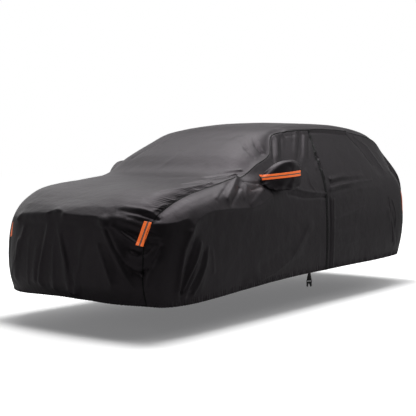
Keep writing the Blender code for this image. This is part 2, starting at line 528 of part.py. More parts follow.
def tree_of(grids):
    """A search tree over the cells of some grids."""
    places, cells = [], []
    for grid in grids:
        rows, columns = grid.shape[:2]
        base = len(places)
        places += [Vector(place) for place in grid.reshape(-1, 3)]
        cells += [(base + row * columns + column, base + row * columns + column + 1,
                   base + (row + 1) * columns + column + 1, base + (row + 1) * columns + column)
                  for row in range(rows - 1) for column in range(columns - 1)]
    return BVHTree.FromPolygons(places, cells)


def pocket_grid(cover, name, sign, grow=0.0):
    """Rings of a mirror pocket from its mouth in the side panel to its tip."""
    tree = tree_of([cover.grids[name]])
    mouth = POCKET_RINGS[0]
    angles = np.linspace(0, 2 * math.pi, POCKET_AROUND, endpoint=False)
    across = np.sign(np.cos(angles)) * np.abs(np.cos(angles)) ** POCKET_SQUARE
    upward = np.sign(np.sin(angles)) * np.abs(np.sin(angles)) ** POCKET_SQUARE
    rings = []
    mouth_y = across * (mouth.deep + grow)
    mouth_z = mouth.z + upward * (mouth.high + grow) + mouth.tilt * mouth_y
    mouth_y = mouth.y + mouth_y
    for step in POCKET_RINGS:
        y = across * (step.deep + grow)
        z = step.z + upward * (step.high + grow) + step.tilt * y
        y = step.y + y
        ring = []
        for place in range(POCKET_AROUND):
            start = Vector((sign * 2.0, mouth_y[place], mouth_z[place]))
            hit = tree.ray_cast(start, Vector((-sign, 0, 0)))[0]
            inner = abs(hit.x) - POCKET_SINK
            x = inner + (POCKET_TIP[0] + grow - inner) * step.share
            ring.append((sign * x, y[place], z[place]))
        rings.append(ring)
    return np.array(rings)


def pocket_shell(name, rings, tip, material, thickness=None):
    """A bag of rings closed at its tip; with no thickness it is a closed lump."""
    mesh = bmesh.new()
    rows = []
    for ring in rings:
        circle = bmesh.ops.create_circle(mesh, segments=len(ring), radius=1.0)["verts"]
        for vert, place in zip(circle, ring):
            vert.co = place
        rows.append(circle)
    bmesh.ops.delete(mesh, geom=mesh.edges[:], context="EDGES_FACES")
    end = bmesh.ops.create_vert(mesh, co=tip)["vert"][0]
    for near, far in zip(rows, rows[1:]):
        for place in range(len(near)):
            after = (place + 1) % len(near)
            mesh.faces.new((near[place], near[after], far[after], far[place]))
    for place in range(len(rows[-1])):
        mesh.faces.new((rows[-1][place], rows[-1][(place + 1) % len(rows[-1])], end))
    if thickness is None:
        mesh.faces.new(rows[0])
    bmesh.ops.recalc_face_normals(mesh, faces=mesh.faces[:])
    bmesh.ops.triangulate(mesh, faces=mesh.faces[:])
    if thickness is not None:
        mesh.normal_update()
        centre_place = Vector(rings.mean(axis=(0, 1)))
        inward = {}
        for vert in mesh.verts:
            facing = vert.normal
            if facing.dot(vert.co - centre_place) < 0:
                facing = -facing
            inward[vert.co.to_tuple(6)] = facing.copy()
        made = bmesh.ops.extrude_face_region(mesh, geom=mesh.faces[:], use_keep_orig=True)
        for item in made["geom"]:
            if isinstance(item, bmesh.types.BMVert):
                item.co -= inward[item.co.to_tuple(6)] * thickness
    return close_mesh(name, mesh, material)


def build_pockets(cover, cloth):
    """Both mirror pockets and the holes that they are sewn into."""
    for word, sign, panel in (("left", 1, "panel_left_front"), ("right", -1, "panel_right")):
        tip = np.array(POCKET_TIP) * (sign, 1, 1)
        rings = pocket_grid(cover, word, sign)
        pocket_shell("mirror_pocket_" + word, rings, tip, cloth, CLOTH)
        wide = pocket_grid(cover, word, sign, POCKET_SLIT)
        wide = np.concatenate([wide[:1] - (sign * CUTTER_SINK, 0, 0), wide])
        cutter = pocket_shell("cutter_" + word, wide, tip + (sign * POCKET_SLIT, 0, 0), None)
        cutter.hide_render = True
        cutter.display_type = "WIRE"
        hole = bpy.data.objects[panel].modifiers.new("mirror hole", "BOOLEAN")
        hole.operation = "DIFFERENCE"
        hole.solver = "EXACT"
        hole.object = cutter


def sounding(tree, start, facing):
    """How far the cloth stands from start, also where start is over a seam."""
    found = []
    for offset in (-SEAM_PROBE, 0, SEAM_PROBE):
        hit = tree.ray_cast(start + Vector((offset, offset, 0)) + facing * PROBE_START, -facing)[0]
        if hit is not None:
            found.append((hit - start).dot(facing))
    return max(found)


def build_strips(tape):
    """Reflective strips laid on the cloth that carries them."""
    for strip in STRIPS:
        mesh = bmesh.new()
        for host in strip.hosts:
            mesh.from_mesh(bpy.data.objects[host].data)
        tree = BVHTree.FromBMesh(mesh)
        facing = Vector(strip.facing).normalized()
        across, along = strip.cells
        shares_a = np.linspace(0, 1, across * STRIP_PROBES + 1)
        shares_b = np.linspace(0, 1, along * STRIP_PROBES + 1)
        top_a, top_b, low_a, low_b = (np.array(corner) for corner in strip.corners)
        flat = np.zeros((len(shares_b), len(shares_a), 3))
        lift = np.zeros((len(shares_b), len(shares_a)))
        for row, down in enumerate(shares_b):
            for column, over in enumerate(shares_a):
                start = ((top_a * (1 - over) + top_b * over) * (1 - down)
                         + (low_a * (1 - over) + low_b * over) * down)
                flat[row, column] = start
                lift[row, column] = sounding(tree, Vector(start), facing)
        mesh.free()
        step = STRIP_PROBES
        raised = lift[::step, ::step].copy()
        part = np.linspace(0, 1, step + 1)
        for row in range(along):
            for column in range(across):
                corners = lift[::step, ::step][row:row + 2, column:column + 2]
                upper = corners[0, 0] * (1 - part) + corners[0, 1] * part
                lower = corners[1, 0] * (1 - part) + corners[1, 1] * part
                plain = (1 - part)[:, None] * upper + part[:, None] * lower
                probes = lift[row * step:row * step + step + 1,
                              column * step:column * step + step + 1]
                excess = (probes - plain).max()
                cell = raised[row:row + 2, column:column + 2]
                np.maximum(cell, corners + excess, out=cell)
        outer = flat[::step, ::step] + np.array(facing) * (
            raised[:, :, None] + STRIP_LIFT + STRIP_THICK)
        normals = np.broadcast_to(np.array(facing), outer.shape)
        sheet(strip.name, outer, normals, STRIP_THICK, tape)


def plate(name, half, material):
    """A crowned plate across x from the right half of its outline in y and z."""
    mesh = bmesh.new()
    outline = list(half) + [(-y, z) for y, z in reversed(half) if y > 0]
    verts = [bmesh.ops.create_vert(mesh, co=(0, y, z))["vert"][0] for y, z in outline]
    face = mesh.faces.new(verts)
    bmesh.ops.triangulate(mesh, faces=[face])
    made = bmesh.ops.extrude_face_region(mesh, geom=mesh.faces[:], use_keep_orig=True)
    front = {item for item in made["geom"] if isinstance(item, bmesh.types.BMVert)}
    for vert in mesh.verts:
        fall = vert.co.y ** 2 + (vert.co.z - BUCKLE_MIDDLE_Z) ** 2
        thick = BUCKLE_THICK / 2 - BUCKLE_CROWN * fall
        vert.co.x = thick if vert in front else -thick
    return close_mesh(name, mesh, material)


def build_strap(cover, tape):
    """Strap sewn behind the hem by the front door, with the two-prong half of its buckle."""
    tree = tree_of([cover.grids["left"]])
    hem = tree.ray_cast(Vector((2, STRAP_Y, STRAP_TOP)), Vector((-1, 0, 0)))[0]
    low = tree.ray_cast(Vector((2, STRAP_Y, STRAP_TOP - STRAP_SEWN)), Vector((-1, 0, 0)))[0]
    middle_x = min(hem.x, low.x) - CLOTH - STRAP_INSET
    profile = [(STRAP_THICK / 2, z) for z in STRAP_DROPS]
    profile += [(depth, STRAP_END + rise) for depth, rise in STRAP_LOOP]
    outer = []
    for depth, z in profile:
        turn = STRAP_TWIST * min(1, max(0, (STRAP_DROPS[1] - z) / STRAP_TURNED))
        outer.append([(middle_x + depth * math.cos(turn) - width * math.sin(turn),
                       STRAP_Y + depth * math.sin(turn) + width * math.cos(turn), z)
                      for width in (-STRAP_WIDE / 2, 0, STRAP_WIDE / 2)])
    outer = np.array(outer)
    normals = unit(face_normals(outer))
    if normals[0, 0, 0] < 0:
        normals = -normals
    sheet("strap_left", outer, normals, STRAP_THICK, tape)
    buckle = plate("buckle_left", BUCKLE_HALF, tape)
    mesh = bmesh.new()
    bmesh.ops.create_cube(mesh, size=1.0)
    for vert in mesh.verts:
        vert.co = Vector((size * place for size, place in zip(BUCKLE_SLOT, vert.co)))
        vert.co.z += BUCKLE_SLOT_Z
    cutter = close_mesh("cutter_slot", mesh, None)
    cutter.hide_render = True
    cutter.display_type = "WIRE"
    slot = buckle.modifiers.new("slot", "BOOLEAN")
    slot.operation = "DIFFERENCE"
    slot.solver = "EXACT"
    slot.object = cutter
    place = (Matrix.Translation((middle_x, STRAP_Y, STRAP_END))
             @ Matrix.Rotation(STRAP_TWIST, 4, "Z"))
    buckle.data.transform(place)
    cutter.data.transform(place)


def main():
    """Build every piece and move all of them to the held place."""
    clear_scene()
    cloth = finish("cloth", CLOTH_BLACK, 0.62)
    tape = finish("tape", TAPE_BLACK, 0.70)
    orange = finish("strip", STRIP_ORANGE, 0.50)
    cover = Cover()
    build_panels(cover, cloth, tape)
    build_pockets(cover, cloth)
    build_strips(orange)
    build_strap(cover, tape)
    shift = Matrix.Translation(Vector(-held_place(cover)))
    for item in bpy.data.objects:
        item.data.transform(shift)


main()
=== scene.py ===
"""Dressed model of a fitted cloth cover.

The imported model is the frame. Finer pieces on the same folds stand for its panels, mirror
pockets, zip, strips, strap and buckle half. The shape is laid out over a ground plane, with
the nose along -Y and the zip side along +X, and moved to the frame's origin under the roof.
"""
import logging
import math
from dataclasses import dataclass
from enum import Enum
from typing import Any, Callable, Iterable, NamedTuple, Sequence

import bmesh
import bpy
import numpy as np
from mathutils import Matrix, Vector
from mathutils.bvhtree import BVHTree


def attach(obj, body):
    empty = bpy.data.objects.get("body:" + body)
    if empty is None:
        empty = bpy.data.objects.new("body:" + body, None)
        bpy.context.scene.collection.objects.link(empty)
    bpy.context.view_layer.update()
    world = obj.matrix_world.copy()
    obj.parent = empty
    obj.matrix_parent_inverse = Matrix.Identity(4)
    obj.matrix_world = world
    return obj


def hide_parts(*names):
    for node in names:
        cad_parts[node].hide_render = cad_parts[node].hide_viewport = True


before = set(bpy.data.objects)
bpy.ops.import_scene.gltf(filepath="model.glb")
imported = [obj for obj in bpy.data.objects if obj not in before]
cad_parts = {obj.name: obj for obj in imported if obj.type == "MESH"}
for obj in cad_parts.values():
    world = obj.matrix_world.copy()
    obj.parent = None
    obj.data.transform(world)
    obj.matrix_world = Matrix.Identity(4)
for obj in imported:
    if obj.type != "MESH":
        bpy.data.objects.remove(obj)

LOG = logging.getLogger("cover")
Array = np.ndarray
HELD = np.array((0.0, 0.70, 1.759))     # the held place of the roof, over the ground plane
CLOTH_THICK = 0.0016
INSIDE = (0.0, 0.0, 0.7)                # a place in the hollow that outward directions leave from
SIDE_SLANT = (1.0, 0.6, 1.0)            # their scale by axis, so that they turn less to the ends
ANY_PHASE = 6.28                        # random phases, in radians, are anywhere below this
WAVE_DRIFTS = ((3.7, 0.9), (6.1, 1.1), (11.3, 1.5))     # an uneven wave's: periods and radians
WAVE_SWELL = (4.9, 0.72, 0.28)          # how its size swells: period, mean and swing
FINE_PLACES = 2001                      # places at which the length of a line is measured


class Flank(Enum):
    """The two long sides of the cover; the value is the sign of x there."""

    ZIP = 1
    PLAIN = -1

    @property
    def turn(self) -> Array:
        """Factors that bring a point of the zip side over to this side."""
        return np.array((self.value, 1, 1))

    @property
    def end(self) -> str:
        """How the names of the CAD nodes on this side end."""
        return "left" if self is Flank.ZIP else "right"


class Crest(Enum):
    """How the top of a fold is rounded; the value is the power of its fall-off."""

    SOFT = 2.0
    SHARP = 1.25
    EDGE = 1.0


# ------------------------------------------------------------------ the cover's own shape

class Section(NamedTuple):
    """A row of the centre panel: its middle, a quarter way out, and the shoulder seam."""

    name: str
    middle: tuple[float, float, float]
    quarter: tuple[float, float, float]
    seam: tuple[float, float, float]


class Post(NamedTuple):
    """A column of the side panel: section count of its top, then five points down to the hem."""

    name: str
    top: float
    upper: tuple[float, float, float]
    shoulder: tuple[float, float, float]
    waist: tuple[float, float, float]
    low: tuple[float, float, float]
    hem: tuple[float, float, float]


class Fold(NamedTuple):
    """A ridge or trough: the line it follows, its half width and height at both ends."""

    name: str
    line: tuple[tuple[float, ...], ...]
    widths: tuple[float, ...]
    heights: tuple[float, ...]
    crest: Crest = Crest.SOFT


SECTIONS = (
    Section("nose hem", (0, -2.265, 0.285), (0.50, -2.230, 0.270), (0.755, -2.120, 0.260)),
    Section("nose low", (0, -2.325, 0.420), (0.52, -2.290, 0.420), (0.760, -2.165, 0.415)),
    Section("nose middle", (0, -2.330, 0.640), (0.53, -2.290, 0.635), (0.760, -2.165, 0.600)),
    Section("nose high", (0, -2.305, 0.830), (0.54, -2.255, 0.820), (0.765, -2.145, 0.770)),
    Section("nose edge", (0, -2.290, 0.950), (0.58, -2.225, 0.925), (0.780, -2.090, 0.885)),
    Section("hood lip", (0, -2.160, 1.040), (0.62, -2.060, 1.060), (0.790, -1.985, 0.965)),
    Section("hood front", (0, -1.860, 1.145), (0.63, -1.830, 1.152), (0.795, -1.720, 1.060)),
    Section("hood back", (0, -1.350, 1.225), (0.63, -1.340, 1.212), (0.800, -1.320, 1.145)),
    Section("cowl", (0, -1.060, 1.280), (0.62, -1.030, 1.262), (0.805, -0.970, 1.222)),
    Section("screen low", (0, -0.840, 1.430), (0.58, -0.800, 1.420), (0.802, -0.730, 1.330)),
    Section("screen high", (0, -0.570, 1.575), (0.56, -0.530, 1.552), (0.758, -0.460, 1.422)),
    Section("roof front", (0, -0.300, 1.685), (0.52, -0.270, 1.652), (0.640, -0.240, 1.600)),
    Section("roof middle", (0, 0.150, 1.744), (0.48, 0.150, 1.716), (0.635, 0.150, 1.648)),
    Section("roof crown", (0, 0.700, 1.762), (0.46, 0.700, 1.740), (0.630, 0.700, 1.674)),
    Section("roof back", (0, 1.300, 1.756), (0.46, 1.290, 1.738), (0.625, 1.250, 1.664)),
    Section("roof end", (0, 1.850, 1.684), (0.46, 1.830, 1.666), (0.615, 1.790, 1.602)),
    Section("back glass", (0, 2.100, 1.490), (0.46, 2.070, 1.480), (0.650, 1.975, 1.460)),
    Section("tail high", (0, 2.300, 1.200), (0.50, 2.260, 1.200), (0.755, 2.170, 1.200)),
    Section("tail edge", (0, 2.345, 0.950), (0.52, 2.310, 0.950), (0.788, 2.205, 0.940)),
    Section("tail middle", (0, 2.370, 0.700), (0.52, 2.340, 0.700), (0.790, 2.225, 0.700)),
    Section("tail low", (0, 2.350, 0.480), (0.52, 2.320, 0.480), (0.770, 2.200, 0.480)),
    Section("tail hem", (0, 2.270, 0.330), (0.50, 2.240, 0.330), (0.725, 2.110, 0.328)),
)
NOSE_TURN = 4.5      # section counts where the seam turns down the nose and the tail corner
TAIL_TURN = 17.0
# Section counts of the centre panel's rows, each with the metres from row to row there.
CENTRE_SPACING = ((0, 0.020), (4.2, 0.018), (5.5, 0.0155), (8.5, 0.018), (9.5, 0.022),
                  (11, 0.030), (12, 0.055), (15, 0.055), (16, 0.036), (len(SECTIONS) - 1, 0.030))

POSTS = (
    Post("lamp", 5.0, (0.845, -2.010, 0.930), (0.875, -2.035, 0.850), (0.885, -2.060, 0.680),
         (0.880, -2.060, 0.460), (0.860, -2.020, 0.250)),
    Post("fender", 5.9, (0.880, -1.780, 1.020), (0.935, -1.800, 0.930), (0.950, -1.820, 0.720),
         (0.950, -1.820, 0.480), (0.935, -1.800, 0.256)),
    Post("wheel", 6.5, (0.885, -1.520, 1.080), (0.945, -1.520, 1.000), (0.965, -1.520, 0.760),
         (0.965, -1.520, 0.510), (0.955, -1.500, 0.272)),
    Post("arch", 7.2, (0.885, -1.220, 1.135), (0.945, -1.200, 1.050), (0.965, -1.170, 0.780),
         (0.965, -1.140, 0.530), (0.950, -1.120, 0.292)),
    Post("mirror", 8.3, (0.900, -0.850, 1.170), (0.945, -0.830, 1.060), (0.962, -0.800, 0.800),
         (0.965, -0.780, 0.550), (0.950, -0.760, 0.312)),
    Post("pillar", 9.6, (0.870, -0.550, 1.215), (0.930, -0.530, 1.065), (0.958, -0.500, 0.800),
         (0.962, -0.480, 0.560), (0.950, -0.460, 0.322)),
    Post("pillar top", 11.0, (0.790, -0.240, 1.360), (0.910, -0.230, 1.130),
         (0.952, -0.220, 0.860), (0.960, -0.200, 0.590), (0.948, -0.180, 0.328)),
    Post("front door", 12.0, (0.785, 0.150, 1.400), (0.910, 0.140, 1.140), (0.955, 0.140, 0.860),
         (0.960, 0.150, 0.590), (0.947, 0.160, 0.330)),
    Post("rear door", 13.0, (0.790, 0.700, 1.420), (0.915, 0.700, 1.150), (0.955, 0.710, 0.870),
         (0.960, 0.710, 0.600), (0.945, 0.710, 0.335)),
    Post("rear wheel", 14.0, (0.780, 1.250, 1.400), (0.905, 1.260, 1.140), (0.950, 1.270, 0.870),
         (0.955, 1.280, 0.600), (0.940, 1.280, 0.337)),
    Post("quarter", 15.0, (0.755, 1.750, 1.360), (0.885, 1.740, 1.120), (0.930, 1.740, 0.860),
         (0.935, 1.750, 0.600), (0.915, 1.740, 0.343)),
    Post("tail lamp", 16.0, (0.745, 1.985, 1.270), (0.852, 2.015, 1.090), (0.882, 2.020, 0.850),
         (0.880, 2.015, 0.600), (0.845, 1.975, 0.342)),
)
SIDE_KNOTS = 5       # steps of a post from the seam to the hem

ZIP_LINE = (8.52, 8.30, 8.25, 8.20, 8.19, 8.19)     # post counts of the zip at those steps
ZIP_HALF = 0.016
ZIP_HALF_POSTS = ZIP_HALF / 0.55                    # the same in posts, 0.55 m apart there


def read_folds(table: str) -> tuple[Fold, ...]:
    """Folds from a table in millimetres.

    Args:
        table: A line for each fold, with semicolons between its name, the points of its line,
            its half widths and heights at both ends, and its crest where that isn't soft. A
            line that ends in a comma goes on in the next.

    Returns:
        The folds, in metres.
    """
    folds = []
    for row in table.strip().replace(",\n", ",").splitlines():
        name, line, widths, heights, *crest = row.split(";")
        folds.append(Fold(name, tuple(metres(point) for point in line.split(",")),
                          metres(widths), metres(heights),
                          Crest[crest[0].strip().upper()] if crest else Crest.SOFT))
    return tuple(folds)


def metres(text: str) -> tuple[float, ...]:
    """The numbers of a text in millimetres, as metres."""
    return tuple(float(word) / 1000 for word in text.split())


FOLDS = read_folds("""
nose swell; -30 -2280 950, -10 -2300 910; 50 60; 18 8
nose far a; -500 -2290 700, -640 -2240 360; 30 40; 10 18
nose far b; -440 -2290 840, -550 -2280 400; 35 35; 10 16
nose a; -240 -2320 660, -280 -2320 400; 30 30; 8 14
nose b; -110 -2310 850, -210 -2320 380; 35 35; 12 22
nose c; -30 -2330 740, -50 -2310 350; 25 30; 6 14
nose d; 10 -2320 850, 90 -2330 610, 120 -2290 330; 30 35; 12 24
nose hollow; 170 -2320 810, 220 -2330 580; 60 60; -18 -14
nose e; 270 -2310 790, 170 -2290 330; 35 35; 8 18
nose f; 440 -2300 700, 550 -2280 420; 45 50; 12 16
nose g; 450 -2270 910, 610 -2270 610, 680 -2220 400; 40 50; 22 10
nose wedge; 500 -2280 830, 600 -2270 560; 35 40; -16 -12
corner swag a; 530 -2160 1000, 680 -2110 990, 780 -2040 940; 30 22; 4 14
corner dip a; 560 -2190 960, 700 -2120 960, 810 -2040 920; 24 22; -8 -16
corner swag b; 540 -2230 930, 740 -2140 840; 45 30; 14 16
corner dip b; 540 -2260 870, 730 -2170 780; 40 30; -6 -14
corner swag c; 600 -2250 820, 720 -2180 720; 35 30; 8 14
corner arc; 680 -2220 670, 730 -2190 640, 780 -2150 670; 25 25; 14 14
corner fork far; 660 -2230 590, 760 -2170 520; 32 24; -10 -18
corner fork near; 850 -2100 650, 770 -2170 520; 32 24; -10 -18
corner rise; 790 -2140 410, 850 -2100 610; 30 35; 10 14
corner near swag; 800 -2130 740, 860 -2070 770; 25 28; 12 6
arch ridge a; 950 -1800 850, 940 -1900 630, 910 -1930 320; 45 32; 10 22
arch dip a; 950 -1770 760, 940 -1860 560, 920 -1910 320; 30 26; -8 -20
arch ridge b; 960 -1720 690, 950 -1800 490, 920 -1870 330; 35 26; 10 16
arch dip b; 960 -1680 660, 960 -1750 480, 930 -1840 330; 30 24; -6 -10
arch ridge c; 960 -1630 600, 960 -1710 380; 32 32; 8 10
mirror ridge a; 800 -1010 1210, 860 -1140 1160, 940 -1330 1050; 30 38; 12 14
mirror dip a; 860 -1050 1170, 940 -1290 1030; 28 30; -14 -10
mirror ridge b; 810 -1130 1180, 920 -1450 1070; 32 32; 8 10
mirror ridge c; 930 -840 1100, 950 -1030 1010; 40 50; 14 8
mirror dip c; 910 -880 1150, 920 -1070 1120; 30 40; -12 -8
screen a; 470 -510 1580, 720 -660 1390; 34 34; 8 10
screen b; 550 -430 1590, 710 -500 1450; 34 34; 8 12
pillar; 670 -220 1550, 770 -380 1390; 26 30; 12 10
window dip a; 660 -30 1590, 760 -210 1410; 50 50; -10 -10
window a; 650 170 1620, 760 -10 1430; 30 30; 12 10
window dip b; 660 250 1610, 770 50 1410; 26 30; -12 -8
window b; 680 310 1590, 800 100 1380; 26 30; 12 8
belt swell; 910 -280 1120, 920 -40 1090, 930 140 1040; 45 40; 12 10
zip fold a; 900 400 1190, 890 650 1220, 880 1060 1220; 28 38; 16 5
zip dip a; 910 380 1140, 910 590 1180, 900 920 1190; 24 30; -12 -4
zip fold b; 930 350 1080, 920 550 1130, 910 870 1150, 900 1250 1160; 28 38; 18 4
zip dip b; 940 360 1030, 930 570 1070, 930 940 1070; 28 40; -12 -4
door swell; 960 -250 540, 960 -700 430, 950 -1080 340; 50 45; 10 14
door dip; 960 -110 660, 960 -510 560, 960 -870 460; 60 60; -4 -10
door ridge; 960 -40 780, 960 -300 540; 40 40; 6 8
quarter dip; 710 1380 1510, 830 1570 1260; 60 70; -8 -12
tail a; 940 1550 840, 930 1750 480; 38 38; 12 12
tail dip a; 940 1650 800, 920 1800 510; 30 32; -10 -12
tail b; 890 2030 780, 870 1990 400; 45 50; 8 14
tail c; 600 2310 800, 640 2260 400; 50 55; 8 16
tail d; 200 2360 820, 160 2330 400; 50 55; 8 16
tail e; -250 2360 860, -300 2320 400; 50 55; 10 18
tail f; -620 2300 780, -660 2240 400; 50 55; 8 14
far arch a; -950 -1780 850, -940 -1880 600, -920 -1920 330; 45 36; 10 20
far arch b; -960 -1680 680, -950 -1790 340; 36 32; 8 14
far mirror a; -820 -1020 1200, -940 -1320 1050; 36 42; 12 12
far mirror b; -930 -840 1100, -950 -1050 1000; 45 50; 12 8
far door; -960 600 560, -960 0 460, -950 -800 360; 55 55; 10 14
far belt; -910 100 1140, -910 1100 1160; 45 50; 10 8
far tail; -940 1560 840, -920 1780 440; 42 42; 12 14
""")

BROAD_PART = 0.6     # the broad folds' own height where the finer lines below share it
